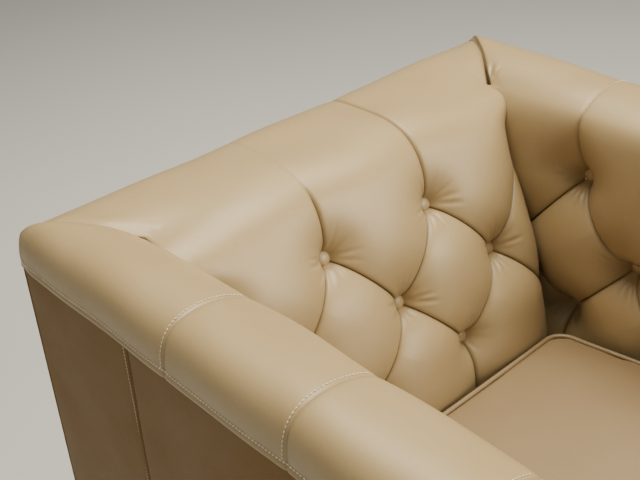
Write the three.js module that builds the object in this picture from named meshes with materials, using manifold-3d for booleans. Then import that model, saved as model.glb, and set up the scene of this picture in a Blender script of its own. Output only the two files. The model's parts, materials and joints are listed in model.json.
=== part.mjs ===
// A square-armed upholstered armchair whose arms and back stand equally high.
// A hardwood frame carries zigzag seat springs and elastic back webbing. Foam and leather
// covers go over it, and a loose box cushion with piped edges lies on the sprung deck.
//
// Units are millimetres. +Z is up, the chair faces -Y, and the origin is on the floor
// under the middle of the chair. "Left" and "right" are the sitter's own: left is +X.
import * as THREE from "three";
import { mergeVertices } from "three/addons/utils/BufferGeometryUtils.js";
import Module from "manifold-3d";

const wasm = await Module();
wasm.setup();

// ---- Driving dimensions ----
const WIDTH = 880;
const DEPTH = 850;
const HEIGHT = 810; // to the crown of the arms
const SKIRT_Z = 118; // lower edge of the leather
const RAIL_Z = 125; // underside of the frame
const SEAT_HALF = 300; // half the distance between the arms
const SEAT_BACK_Y = 100; // where the inside back meets the cushion
const DECK_Z = 281; // top of the sprung deck
const SEAM_Z = 754; // seam between an arm's outside panel and its top
const CUSHION_Z = 418; // top of the cushion at its piped edge
const GAP = 0.4; // clearance between pieces that touch

const SKIN = 6; // leather over card on the flat outside panels
const COVER = 13; // leather and wadding on the padded faces
const BOARD = 30; // thickness of the seat rails
const POST = 50; // width of a corner post
const POST_DEPTH = 44;

const outX = WIDTH / 2;
const outY = DEPTH / 2;
const frameX = outX - SKIN - GAP;
const frameY = outY - SKIN - GAP;
const postInX = frameX - POST;
const postInY = frameY - POST_DEPTH;
const railInX = frameX - BOARD;
const railInY = frameY - BOARD;
const RAIL_TOP = 245;
const ARM_BOARD_Z = 735;
const ARM_BOARD_TOP = 757;
const BACK_BOARD_Z = 745;
const BACK_BOARD_TOP = 770;
const BACK_TOP_Z = 800; // crown of the back, a little below the arms
const SPRING_RAIL_Y = 150; // front face of the cross rail that holds the springs' rear ends

// Buttons: the tufting pitch, and the rows that the foam is drilled for.
const PITCH = 201;
const BUTTON_HOLE_R = 18;
const BACK_ROWS_Z = [686, 580, 475];
const ARM_ROWS_Z = [668, 548, 435];
const ARM_FIRST_Y = 117; // first upper button on each arm, counted from the back

// The plane of the back webbing, as y at a height z.
const WEB_FOOT = [162, 285];
const WEB_HEAD = [291, 770];
const WEB_LEAN = (WEB_HEAD[0] - WEB_FOOT[0]) / (WEB_HEAD[1] - WEB_FOOT[1]);
const webY = (z) => WEB_FOOT[0] + WEB_LEAN * (z - WEB_FOOT[1]);

// ---- Materials ----
const plain = (color, roughness, metalness = 0) =>
  new THREE.MeshStandardMaterial({ color, roughness, metalness });
const LEATHER = plain(0xb39a78, 0.42);
const LEATHER_DARK = plain(0x9c8461, 0.45);
const BEECH = plain(0xc79e6b, 0.7);
const PLY = plain(0xb98f5e, 0.75);
const FOAM = plain(0xe8dcae, 0.95);
const STEEL = plain(0x8f9296, 0.35, 0.9);
const WEBBING = plain(0x4b4a48, 0.85);
const CAMBRIC = plain(0x1d1c1c, 0.95);
const LEG_WOOD = plain(0x3a2417, 0.4);
const NYLON = plain(0x2a2a2a, 0.6);

const chair = new THREE.Group();

// ---- Helpers ----
function add(name, geometry, material) {
  const mesh = new THREE.Mesh(geometry, material);
  mesh.name = name;
  chair.add(mesh);
  return mesh;
}

// A box from its limits along x, y and z.
function block([x0, x1], [y0, y1], [z0, z1]) {
  const g = new THREE.BoxGeometry(x1 - x0, y1 - y0, z1 - z0);
  return g.translate((x0 + x1) / 2, (y0 + y1) / 2, (z0 + z1) / 2);
}

// Mirrors a range or a geometry to the other side of the chair.
const across = (side, [lo, hi]) => (side > 0 ? [lo, hi] : [-hi, -lo]);

function mirrored(geometry) {
  const g = geometry.clone().scale(-1, 1, 1);
  const position = g.getAttribute("position");
  const order = g.index ? Array.from(g.index.array) : [...Array(position.count).keys()];
  for (let i = 0; i < order.length; i += 3) {
    [order[i + 1], order[i + 2]] = [order[i + 2], order[i + 1]];
  }
  return g.setIndex(order);
}

function outline(points) {
  return new THREE.Shape(points.map(([a, b]) => new THREE.Vector2(a, b)));
}

// A closed shape in the plane of x and y, raised from z0 to z1.
function raised(shape, z0, z1, curveSegments = 6) {
  const g = new THREE.ExtrudeGeometry(shape, { depth: z1 - z0, bevelEnabled: false, curveSegments });
  return g.translate(0, 0, z0);
}

// A shape drawn in x and z, run along y from y0 to y1.
function alongY(shape, y0, y1, curveSegments = 6) {
  return raised(shape, -y1, -y0, curveSegments).rotateX(Math.PI / 2);
}

// A shape drawn in y and z, run along x from x0 to x1.
function alongX(shape, x0, x1, curveSegments = 6) {
  return raised(shape, x0, x1, curveSegments).rotateX(Math.PI / 2).rotateZ(Math.PI / 2);
}

function solidOf(geometry) {
  const bare = new THREE.BufferGeometry();
  bare.setAttribute("position", geometry.getAttribute("position"));
  if (geometry.index) bare.setIndex(geometry.index);
  const merged = mergeVertices(bare, 1e-3);
  return new wasm.Manifold(
    new wasm.Mesh({
      numProp: 3,
      vertProperties: merged.attributes.position.array,
      triVerts: new Uint32Array(merged.index.array),
    }),
  );
}

function geometryOf(solid) {
  const m = solid.getMesh();
  const g = new THREE.BufferGeometry();
  g.setAttribute("position", new THREE.BufferAttribute(m.vertProperties, 3));
  return g.setIndex(new THREE.BufferAttribute(m.triVerts, 1));
}

// The geometry with every cutter taken out of it.
function cut(geometry, cutters) {
  const left = cutters.reduce((solid, c) => solid.subtract(solidOf(c)), solidOf(geometry));
  return geometryOf(left);
}

function rod(radius, z0, z1, x, y, sides = 12) {
  const g = new THREE.CylinderGeometry(radius, radius, z1 - z0, sides).rotateX(Math.PI / 2);
  return g.translate(x, y, (z0 + z1) / 2);
}

// ---- Timber frame ----
function seatRails() {
  const z = [RAIL_Z, RAIL_TOP];
  const between = [-postInX + GAP, postInX - GAP];
  add("front_seat_rail", block(between, [-frameY, -railInY], z), BEECH);
  add("rear_seat_rail", block(between, [railInY, frameY], z), BEECH);
  const inner = [-railInX + GAP, railInX - GAP];
  add("spring_rail", block(inner, [SPRING_RAIL_Y, SPRING_RAIL_Y + BOARD], z), BEECH);
}

function sideFrame(side, hand) {
  const x = (lo, hi) => across(side, [lo, hi]);
  const alongSide = [-postInY + GAP, postInY - GAP];
  const postZ = [RAIL_Z, ARM_BOARD_Z - GAP];
  add(hand + "_seat_rail", block(x(railInX, frameX), alongSide, [RAIL_Z, RAIL_TOP]), BEECH);
  add(hand + "_front_post", block(x(postInX, frameX), [-frameY, -postInY], postZ), BEECH);
  add(hand + "_rear_post", block(x(postInX, frameX), [postInY, frameY], postZ), BEECH);
  const armBoard = block(x(345, frameX), [-frameY, frameY], [ARM_BOARD_Z, ARM_BOARD_TOP]);
  add(hand + "_arm_top_rail", armBoard, BEECH);
  const lower = block(x(postInX, postInX + 28), alongSide, [DECK_Z + 4, 325]);
  add(hand + "_arm_lower_rail", lower, BEECH);
  const panelX = x(postInX - GAP - 4, postInX - GAP);
  const panel = block(panelX, [-frameY, 300], [DECK_Z + 4, ARM_BOARD_Z - GAP]);
  add(hand + "_arm_inner_panel", panel, PLY);
}

function backFrame() {
  const reach = 345 - GAP;
  const board = block([-reach, reach], [292, frameY], [BACK_BOARD_Z, BACK_BOARD_TOP]);
  add("back_top_rail", board, BEECH);
  const [z0, z1] = [DECK_Z + 4, 330];
  const rear = webY(z1) + BOARD;
  const lower = outline([[webY(z0) + GAP, z0], [rear, z0], [rear, z1], [webY(z1) + GAP, z1]]);
  add("back_lower_rail", alongX(lower, -reach, reach), BEECH);
}

// ---- Legs, each screwed into a corner block with a hanger bolt ----
const LEG_X = 365;
const LEG_Y = 355;
const BOLT_R = 4;
const BLOCK_TOP = 185;

function cornerBlock(sx, sy) {
  const c = GAP + 0.1;
  const [px, py] = [postInX - c, postInY - c];
  const [rx, ry] = [railInX - c, railInY - c];
  const arm = 100;
  const corners = [[px, ry], [rx - arm, ry], [rx, ry - arm], [rx, py], [px, py]];
  const drawn = corners.map(([x, y]) => [x * sx, y * sy]);
  const shape = outline(sx * sy > 0 ? drawn : drawn.reverse());
  const hole = rod(BOLT_R + GAP, RAIL_Z - 1, BLOCK_TOP + 1, LEG_X * sx, LEG_Y * sy);
  return cut(raised(shape, RAIL_Z, BLOCK_TOP), [hole]);
}

function tapered(x, y, topWide, footWide, z0, z1) {
  const half = Math.SQRT1_2;
  const g = new THREE.CylinderGeometry(topWide * half, footWide * half, z1 - z0, 4);
  return g.rotateY(Math.PI / 4).rotateX(Math.PI / 2).translate(x, y, (z0 + z1) / 2);
}

function legSet(sx, sy, place) {
  const [x, y] = [LEG_X * sx, LEG_Y * sy];
  const legTop = RAIL_Z - GAP;
  const boltFoot = 88;
  const bore = rod(BOLT_R + GAP, boltFoot - GAP, legTop + 1, x, y);
  add(place + "_corner_block", cornerBlock(sx, sy), BEECH);
  add(place + "_leg", cut(tapered(x, y, 62, 42, 6, legTop), [bore]), LEG_WOOD);
  add(place + "_leg_bolt", rod(BOLT_R, boltFoot, 165, x, y, 10), STEEL);
  add(place + "_glide", rod(16, 0, 6 - GAP, x, y, 24), NYLON);
}

// ---- Springs and webbing ----
const SPRING_X = [-240, -120, 0, 120, 240];
const WIRE_R = 2;
const SPRING_Z = 249;
const SPRING_RISE = 15;

// A zigzag wire between the front rail and the spring rail, arched upwards.
function zigzagSpring(x) {
  const y0 = -frameY + 12;
  const y1 = SPRING_RAIL_Y + 18;
  const bends = 20;
  const reach = 21;
  const points = [];
  for (let i = 0; i <= bends; i++) {
    const t = i / bends;
    const swing = i === 0 || i === bends ? 0 : i % 2 ? reach : -reach;
    const y = y0 + (y1 - y0) * t;
    const z = SPRING_Z + SPRING_RISE * Math.sin(Math.PI * t);
    points.push(new THREE.Vector3(x + swing, y, z));
  }
  const section = new THREE.Shape().absarc(0, 0, WIRE_R, 0, 2 * Math.PI);
  const route = new THREE.CatmullRomCurve3(points, false, "catmullrom", 0.6);
  return new THREE.ExtrudeGeometry(section, {
    steps: bends * 3,
    curveSegments: 3,
    bevelEnabled: false,
    extrudePath: route,
  });
}

function backWebbing(x) {
  const thick = 2;
  const [z0, z1] = [DECK_Z + 6, BACK_BOARD_TOP - 2];
  const shape = outline([
    [webY(z0) - thick, z0],
    [webY(z0), z0],
    [webY(z1), z1],
    [webY(z1) - thick, z1],
  ]);
  return alongX(shape, x - 25, x + 25);
}

// ---- Foam and covers ----
const BACK_FRONT = [
  [SEAT_BACK_Y, DECK_Z + 2],
  [SEAT_BACK_Y, 470],
  [178, 680],
  [214, 745],
  [250, 785],
  [290, BACK_TOP_Z],
];

// The same line moved back by a distance, for the foam under the cover.
const inset = (line, d) => line.map(([y, z]) => [y + d, z > 740 ? z - d * 0.7 : z]);

function backCover() {
  const rear = [[outY - 30, BACK_TOP_Z], [outY - 8, 790], [outY, 768], [outY, SEAM_Z + GAP]];
  const foamLine = inset(BACK_FRONT, COVER).reverse();
  const lip = outY - SKIN;
  const under = [[lip, SEAM_Z + GAP], [lip, 772], [outY - 32, BACK_TOP_Z - COVER * 0.7]];
  const shape = outline([...BACK_FRONT, ...rear, ...under, ...foamLine]);
  return cut(alongX(shape, -outX, outX), [armShare(), mirrored(armShare())]);
}

function backFoam() {
  const front = inset(BACK_FRONT, COVER + GAP);
  const z0 = DECK_Z + 6;
  front[0][1] = z0;
  const behind = webY(z0) - 2 - GAP;
  const top = BACK_BOARD_TOP + GAP;
  const shape = outline([
    ...front,
    [outY - 34, BACK_TOP_Z - COVER * 0.7 - GAP],
    [outY - 34, top],
    [webY(top) - 3, top],
    [behind, z0],
  ]);
  const body = alongX(shape, -frameX, frameX);
  const holes = [];
  BACK_ROWS_Z.forEach((z, row) => {
    const xs = row === 1 ? [-PITCH, 0, PITCH] : [-PITCH / 2, PITCH / 2];
    xs.forEach((x) => {
      const drill = new THREE.CylinderGeometry(BUTTON_HOLE_R, BUTTON_HOLE_R, 400, 10);
      holes.push(drill.translate(x, 200, z));
    });
  });
  return cut(body, [armShare(), mirrored(armShare()), ...holes]);
}

// Half sections of an arm, drawn for the sitter's left, outside to inside.
function armOuterLine() {
  return [
    [outX, SEAM_Z + GAP],
    [outX + 2, 778],
    [outX - 9, 798],
    [outX - 30, HEIGHT],
    [SEAT_HALF + 34, HEIGHT],
    [SEAT_HALF + 10, 798],
    [SEAT_HALF, 772],
    [SEAT_HALF, DECK_Z + 2],
  ];
}

function armInnerLine(d) {
  return [
    [frameX + GAP, SEAM_Z + GAP],
    [frameX + GAP, 778],
    [outX - 30, HEIGHT - d],
    [SEAT_HALF + 38, HEIGHT - d],
    [SEAT_HALF + d, 770],
    [SEAT_HALF + d, DECK_Z + 2],
  ];
}

// The covers meet in a mitre over each back corner, along the line y = mitreY(x).
const mitreY = (x) => x - (outX - outY);

// The left arm's share of the plan, in front of the mitre, at every height.
function armShare() {
  const [x0, x1] = [SEAT_HALF - GAP, outX + 20];
  const y = -outY - 20;
  return raised(outline([[x0, y], [x1, y], [x1, mitreY(x1)], [x0, mitreY(x0)]]), 0, HEIGHT + 20);
}

// The back's share of the left corner, behind the mitre, above the arm's seam.
function backShare() {
  const [x0, x1] = [SEAT_HALF - 40, outX + 20];
  const y = outY + 20;
  const corners = [[x0, mitreY(x0) - GAP], [x1, mitreY(x1) - GAP], [x1, y], [x0, y]];
  return raised(outline(corners), SEAM_Z - 1, HEIGHT + 20);
}

// The space behind the back webbing, where the back's rails reach across to the arms.
function behindTheBack() {
  const [z0, z1] = [DECK_Z - 10, 785];
  const shape = outline([
    [webY(z0) - 3, z0],
    [outY + 10, z0],
    [outY + 10, z1],
    [webY(z1) - 3, z1],
  ]);
  return alongX(shape, 0, postInX - 3);
}

function armCover() {
  const shape = outline([...armInnerLine(COVER), ...armOuterLine().reverse()]);
  return cut(alongY(shape, -frameY, outY), [behindTheBack(), backShare()]);
}

function armFoam() {
  const d = COVER + GAP;
  const slab = postInX - 5 - GAP;
  const shape = outline([
    [SEAT_HALF + d, DECK_Z + 6],
    [slab, DECK_Z + 6],
    [slab, ARM_BOARD_Z - 1],
    [344, ARM_BOARD_Z - 1],
    [344, ARM_BOARD_TOP + GAP],
    [frameX, ARM_BOARD_TOP + GAP],
    [frameX, 777],
    [outX - 31, HEIGHT - d],
    [SEAT_HALF + 38, HEIGHT - d],
    [SEAT_HALF + d, 770],
  ]);
  const holes = [];
  ARM_ROWS_Z.forEach((z, row) => {
    for (let i = 0; i < 3; i++) {
      const y = ARM_FIRST_Y - (row === 1 ? PITCH / 2 : 0) - i * PITCH;
      const drill = new THREE.CylinderGeometry(BUTTON_HOLE_R, BUTTON_HOLE_R, 120, 10);
      holes.push(drill.rotateZ(Math.PI / 2).translate(340, y, z));
    }
  });
  return cut(alongY(shape, -frameY, frameY), [behindTheBack(), backShare(), ...holes]);
}

function armFront() {
  const line = armOuterLine().map(([x, z]) => [Math.min(x, outX), z]);
  const shape = outline([[SEAT_HALF, SKIRT_Z], [outX, SKIRT_Z], ...line]);
  return alongY(shape, -outY, -frameY - GAP);
}

function outsidePanels() {
  const z = [SKIRT_Z, SEAM_Z];
  const back = block([-frameX, frameX], [frameY + GAP, outY], z);
  add("outside_back_panel", back, LEATHER_DARK);
  const border = block([-SEAT_HALF + GAP, SEAT_HALF - GAP], [-outY, -frameY - GAP], [SKIRT_Z, DECK_Z]);
  add("front_border", border, LEATHER_DARK);
}

function armUpholstery(side, hand) {
  const place = (name, geometry, material) =>
    add(hand + name, side > 0 ? geometry : mirrored(geometry), material);
  place("_arm_foam", armFoam(), FOAM);
  place("_arm_cover", armCover(), LEATHER);
  place("_arm_front_panel", armFront(), LEATHER);
  const panelX = across(side, [frameX + GAP, outX]);
  const panel = block(panelX, [-frameY, outY], [SKIRT_Z, SEAM_Z]);
  add(hand + "_outside_arm_panel", panel, LEATHER_DARK);
}

// ---- Deck and underside ----
function deckAndUnderside() {
  const deck = block([-SEAT_HALF + 1, SEAT_HALF - 1], [-frameY, SEAT_BACK_Y - 1], [DECK_Z - 11, DECK_Z]);
  add("deck_pad", deck, CAMBRIC);
  const [x, y] = [frameX - 4, frameY - 4];
  const [nx, ny] = [LEG_X - 36, LEG_Y - 36];
  const corners = [];
  [[1, 1], [-1, 1], [-1, -1], [1, -1]].forEach(([sx, sy]) => {
    const notch = [[x * sx, ny * sy], [nx * sx, ny * sy], [nx * sx, y * sy]];
    corners.push(...(sx * sy > 0 ? notch : notch.reverse()));
  });
  const sheet = raised(outline(corners), RAIL_Z - 2, RAIL_Z - GAP);
  add("dust_cover", sheet, CAMBRIC);
}

// ---- Loose seat cushion ----
const CUSHION_HALF = 291.5;
const CUSHION_FRONT = -418;
const CUSHION_REAR = 92;
const CUSHION_BASE = DECK_Z + 6;
const CORNER_R = 42;
const EDGE_CHAMFER = 8;
const PIPE_R = 4.6;

// The cushion's plan, moved inwards by d, from the middle of its rear edge and back to it.
function cushionPlan(d = 0) {
  const [w, r] = [CUSHION_HALF - d, CORNER_R - d];
  const [y0, y1] = [CUSHION_FRONT + d, CUSHION_REAR - d];
  const shape = new THREE.Shape();
  shape.moveTo(0, y1);
  shape.absarc(-w + r, y1 - r, r, Math.PI / 2, Math.PI);
  shape.absarc(-w + r, y0 + r, r, Math.PI, 1.5 * Math.PI);
  shape.absarc(w - r, y0 + r, r, -Math.PI / 2, 0);
  shape.absarc(w - r, y1 - r, r, 0, Math.PI / 2);
  shape.lineTo(0, y1);
  return shape;
}

function chamferedSlab(d, z0, z1, chamfer) {
  const g = new THREE.ExtrudeGeometry(cushionPlan(d + chamfer), {
    depth: z1 - z0 - 2 * chamfer,
    bevelThickness: chamfer,
    bevelSize: chamfer,
    bevelSegments: 1,
    curveSegments: 5,
  });
  return g.translate(0, 0, z0 + chamfer);
}

// Piping round the cushion, with its two ends meeting behind.
function piping(z) {
  const ring = cushionPlan().getSpacedPoints(120);
  ring[0].x -= GAP;
  ring[ring.length - 1].x += GAP;
  const route = new THREE.CatmullRomCurve3(ring.map((p) => new THREE.Vector3(p.x, p.y, z)));
  const section = new THREE.Shape().absarc(0, 0, PIPE_R, 0, 2 * Math.PI);
  return new THREE.ExtrudeGeometry(section, {
    steps: 90,
    curveSegments: 3,
    bevelEnabled: false,
    extrudePath: route,
  });
}

function seatCushion() {
  const leather = 3;
  const zipHalf = 245;
  const zipZ = [340, 362];
  const outer = chamferedSlab(0, CUSHION_BASE, CUSHION_Z, EDGE_CHAMFER);
  const hollow = chamferedSlab(leather, CUSHION_BASE + leather, CUSHION_Z - leather, EDGE_CHAMFER);
  const slot = block([-zipHalf, zipHalf], [CUSHION_REAR - 10, CUSHION_REAR + 10], zipZ);
  add("seat_cushion_cover", cut(outer, [hollow, slot]), LEATHER);
  const d = leather + GAP;
  const foam = chamferedSlab(d, CUSHION_BASE + d, CUSHION_Z - d, EDGE_CHAMFER);
  add("seat_cushion_foam", foam, FOAM);
  const zipY = [CUSHION_REAR - leather + 0.2, CUSHION_REAR];
  const zip = block([-zipHalf + GAP, zipHalf - GAP], zipY, [zipZ[0] + GAP, zipZ[1] - GAP]);
  add("seat_cushion_zip", zip, NYLON);
  add("cushion_top_piping", piping(CUSHION_Z), LEATHER_DARK);
  add("cushion_bottom_piping", piping(CUSHION_BASE), LEATHER_DARK);
}

// ---- Assembly ----
seatRails();
backFrame();
for (const [side, hand] of [[1, "left"], [-1, "right"]]) {
  sideFrame(side, hand);
  armUpholstery(side, hand);
  legSet(side, -1, hand + "_front");
  legSet(side, 1, hand + "_rear");
}
SPRING_X.forEach((x, i) => add("seat_spring_" + (i + 1), zigzagSpring(x), STEEL));
[-180, 0, 180].forEach((x, i) => add("back_webbing_" + (i + 1), backWebbing(x), WEBBING));
add("back_foam", backFoam(), FOAM);
add("inside_back_cover", backCover(), LEATHER);
outsidePanels();
deckAndUnderside();
seatCushion();

export default chair;
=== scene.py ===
"""A square-armed leather armchair with a tufted back and arms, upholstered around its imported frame.

The frame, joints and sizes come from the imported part. Everything here is the look of it: the
tufted covers and their foam, the flat panels, the loose cushion, buttons, stitching and finishes.
Lengths are in millimetres until a mesh is made, because that is how an upholsterer measures.
"""

import json
import math

import bpy
import numpy as np
from mathutils import Matrix, Vector


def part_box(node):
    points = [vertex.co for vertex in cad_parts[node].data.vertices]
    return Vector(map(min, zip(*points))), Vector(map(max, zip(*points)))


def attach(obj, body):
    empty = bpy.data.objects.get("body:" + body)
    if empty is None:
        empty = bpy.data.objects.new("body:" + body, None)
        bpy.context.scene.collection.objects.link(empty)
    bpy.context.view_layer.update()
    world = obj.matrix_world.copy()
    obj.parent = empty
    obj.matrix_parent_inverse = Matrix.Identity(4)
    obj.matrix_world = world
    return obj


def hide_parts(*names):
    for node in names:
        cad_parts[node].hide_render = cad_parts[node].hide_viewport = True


bl_info = {
    "name": "Tufted Armchair",
    "version": (1, 0, 0),
    "blender": (4, 5, 0),
    "location": "View3D > Sidebar > Armchair",
    "description": "Upholsters a packed armchair frame",
    "category": "Object",
}

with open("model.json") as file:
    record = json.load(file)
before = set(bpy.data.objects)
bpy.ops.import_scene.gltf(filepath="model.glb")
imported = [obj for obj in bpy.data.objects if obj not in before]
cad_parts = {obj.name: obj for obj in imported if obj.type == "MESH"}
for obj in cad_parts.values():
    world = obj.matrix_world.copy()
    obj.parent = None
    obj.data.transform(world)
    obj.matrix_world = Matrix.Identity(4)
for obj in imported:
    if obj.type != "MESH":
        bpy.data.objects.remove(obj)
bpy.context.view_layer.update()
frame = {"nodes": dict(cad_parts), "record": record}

MM = 0.001
FRAME_BODY = "frame"
CUSHION_BODY = "seat_cushion"
SIDES = {"left": 1, "right": -1}


def corners(node):
    """The lowest and highest corner of a CAD node, in millimetres."""
    low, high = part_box(node)
    return np.array(low) / MM, np.array(high) / MM


# ---- Measures taken from the frame ----
BACK_LOW, BACK_HIGH = corners("inside_back_cover")
ARM_LOW, ARM_HIGH = corners("left_arm_cover")
PANEL_LOW, PANEL_HIGH = corners("left_outside_arm_panel")
CUSHION_LOW, CUSHION_HIGH = corners("seat_cushion_cover")
SEAT_HALF = ARM_LOW[0]
OUT_X = PANEL_HIGH[0]
OUT_Y = BACK_HIGH[1]
FRONT_Y = ARM_LOW[1]
DECK_Z = ARM_LOW[2]
ARM_TOP = ARM_HIGH[2]
BACK_TOP = BACK_HIGH[2]
SEAM_Z = PANEL_HIGH[2]
SKIRT_Z = PANEL_LOW[2]
MITRE_STEP = OUT_X - OUT_Y  # across a mitre, x is this much more than y
STITCH_LIFT = 10.5  # stitch line above the lower edge of an arm cover


# ---- Settings that a user may change ----
def length(name, description, default):
    """A setting in millimetres."""
    return bpy.props.FloatProperty(
        name=name, description=f"{description}, in millimetres", default=default
    )


def tone(name, description, default):
    """A colour setting."""
    return bpy.props.FloatVectorProperty(
        name=name, description=description, subtype="COLOR", default=default
    )


class TuftSettings(bpy.types.PropertyGroup):
    """How the back and arms are buttoned."""

    pitch: length("Pitch", "Distance between buttons along a row", 201.0)
    back_depth: length("Back depth", "How far the back's buttons pull in", 43.0)
    arm_depth: length("Arm depth", "How far the arms' buttons pull in", 60.0)
    pleat_depth: length("Pleat depth", "Depth of a pleat between two buttons", 13.0)
    button: length("Button diameter", "Diameter of a covered button", 22.0)
    fineness: bpy.props.IntProperty(
        name="Fineness", description="Mesh steps across half a pitch, a multiple of 4", default=40
    )


class LeatherSettings(bpy.types.PropertyGroup):
    """Colours and gloss of the hides."""

    hide: tone("Hide", "Colour of the back and arms", (0.350, 0.248, 0.125))
    # Painted shade: the outside panels get a darker, warmer copy of the hide, standing in for the shade on
    # those faces.
    outside: tone("Outside", "Colour of the outside panels", (0.185, 0.102, 0.030))
    seat: tone("Seat", "Colour of the cushion", (0.225, 0.152, 0.080))
    thread: tone("Thread", "Colour of the top-stitching", (0.86, 0.75, 0.56))
    roughness: bpy.props.FloatProperty(
        name="Roughness", description="Roughness of the hides", default=0.38, subtype="FACTOR"
    )


class StitchSettings(bpy.types.PropertyGroup):
    """The top-stitching."""

    pitch: length("Pitch", "Distance from stitch to stitch", 5.0)
    length: length("Length", "Length of the thread that shows", 4.0)
    thread: length("Thread", "Diameter of the thread", 1.5)


class CushionSettings(bpy.types.PropertyGroup):
    """The loose seat cushion."""

    voxel: length("Voxel", "Mesh size that the cushion is simulated at", 6.0)
    pressure: bpy.props.FloatProperty(name="Pressure", description="Air pressure inside", default=4.0)
    crown: length("Crown", "Most that a face may swell", 11.0)
    piping: length("Piping", "Diameter of the piping", 7.6)


class StageSettings(bpy.types.PropertyGroup):
    """Floor and light."""

    floor: tone("Floor", "Colour of the floor", (0.62, 0.61, 0.59))
    key: bpy.props.FloatProperty(name="Key light", description="Power in watts", default=195.0)
    ambient: bpy.props.FloatProperty(
        name="Ambient", description="Strength of the room light", default=0.18
    )


# ---- Curves and surfaces ----
def smoothstep(x):
    x = np.clip(x, 0.0, 1.0)
    return x * x * (3.0 - 2.0 * x)


def pillow(x):
    """Rises steeply from 0 at a pleat and levels out at 1, half a cell away."""
    x = np.clip(x, 0.0, 1.0)
    return (1.0 - (1.0 - x) ** 2.2) ** 0.62


class Profile:
    """A smooth line through a cross-section, measured along its own length."""

    ROUNDS = 5

    def __init__(self, points):
        line = np.array(points, float)
        for _ in range(self.ROUNDS):
            near = 0.75 * line[:-1] + 0.25 * line[1:]
            far = 0.25 * line[:-1] + 0.75 * line[1:]
            middle = np.stack([near, far], axis=1).reshape(-1, 2)
            line = np.vstack([line[:1], middle, line[-1:]])
        steps = np.linalg.norm(np.diff(line, axis=0), axis=1)
        self.line = line
        self.along = np.concatenate([[0.0], np.cumsum(steps)])
        self.length = self.along[-1]
        tangent = np.gradient(line, self.along, axis=0)
        tangent /= np.linalg.norm(tangent, axis=1)[:, None]
        self.facing = np.stack([-tangent[:, 1], tangent[:, 0]], axis=1)

    def _read(self, table, w):
        return np.stack([np.interp(w, self.along, table[:, k]) for k in range(2)], axis=-1)

    def at(self, w):
        return self._read(self.line, w)

    def normal(self, w):
        n = self._read(self.facing, w)
        return n / np.linalg.norm(n, axis=-1)[..., None]

    def nearest(self, point):
        """The length along the line where it comes nearest to a point."""
        return self.along[np.argmin(np.linalg.norm(self.line - np.array(point), axis=1))]


MITRE_RUN = np.linspace(0.0, OUT_Y, 200)
MITRE_REACH = MITRE_RUN + MITRE_STEP + 12.0 * smoothstep((OUT_Y - 10 - MITRE_RUN) / 100.0)


def mitre_x(y):
    """How far out the mitre lies at a distance back: it strays from a true diagonal inwards."""
    return np.interp(y, MITRE_RUN, MITRE_REACH)


def mitre_y(x):
    return np.interp(x, MITRE_REACH, MITRE_RUN)


def mitre_sink(x, z, seam):
    """How deep a crown is drawn in near its mitre, by its place in the section and the distance."""
    inner = smoothstep((SEAT_HALF + 60 - x) / 50.0)
    outer = smoothstep((x - OUT_X + 24) / 20.0)
    above_hem = smoothstep((z - SEAM_Z + 4) / 30.0)
    depth = (5.0 + 3.0 * inner) * (1 - outer) + 3.0 * outer * above_hem
    return depth * (1.0 - smoothstep(seam / (24.0 + 12.0 * inner)))


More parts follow.
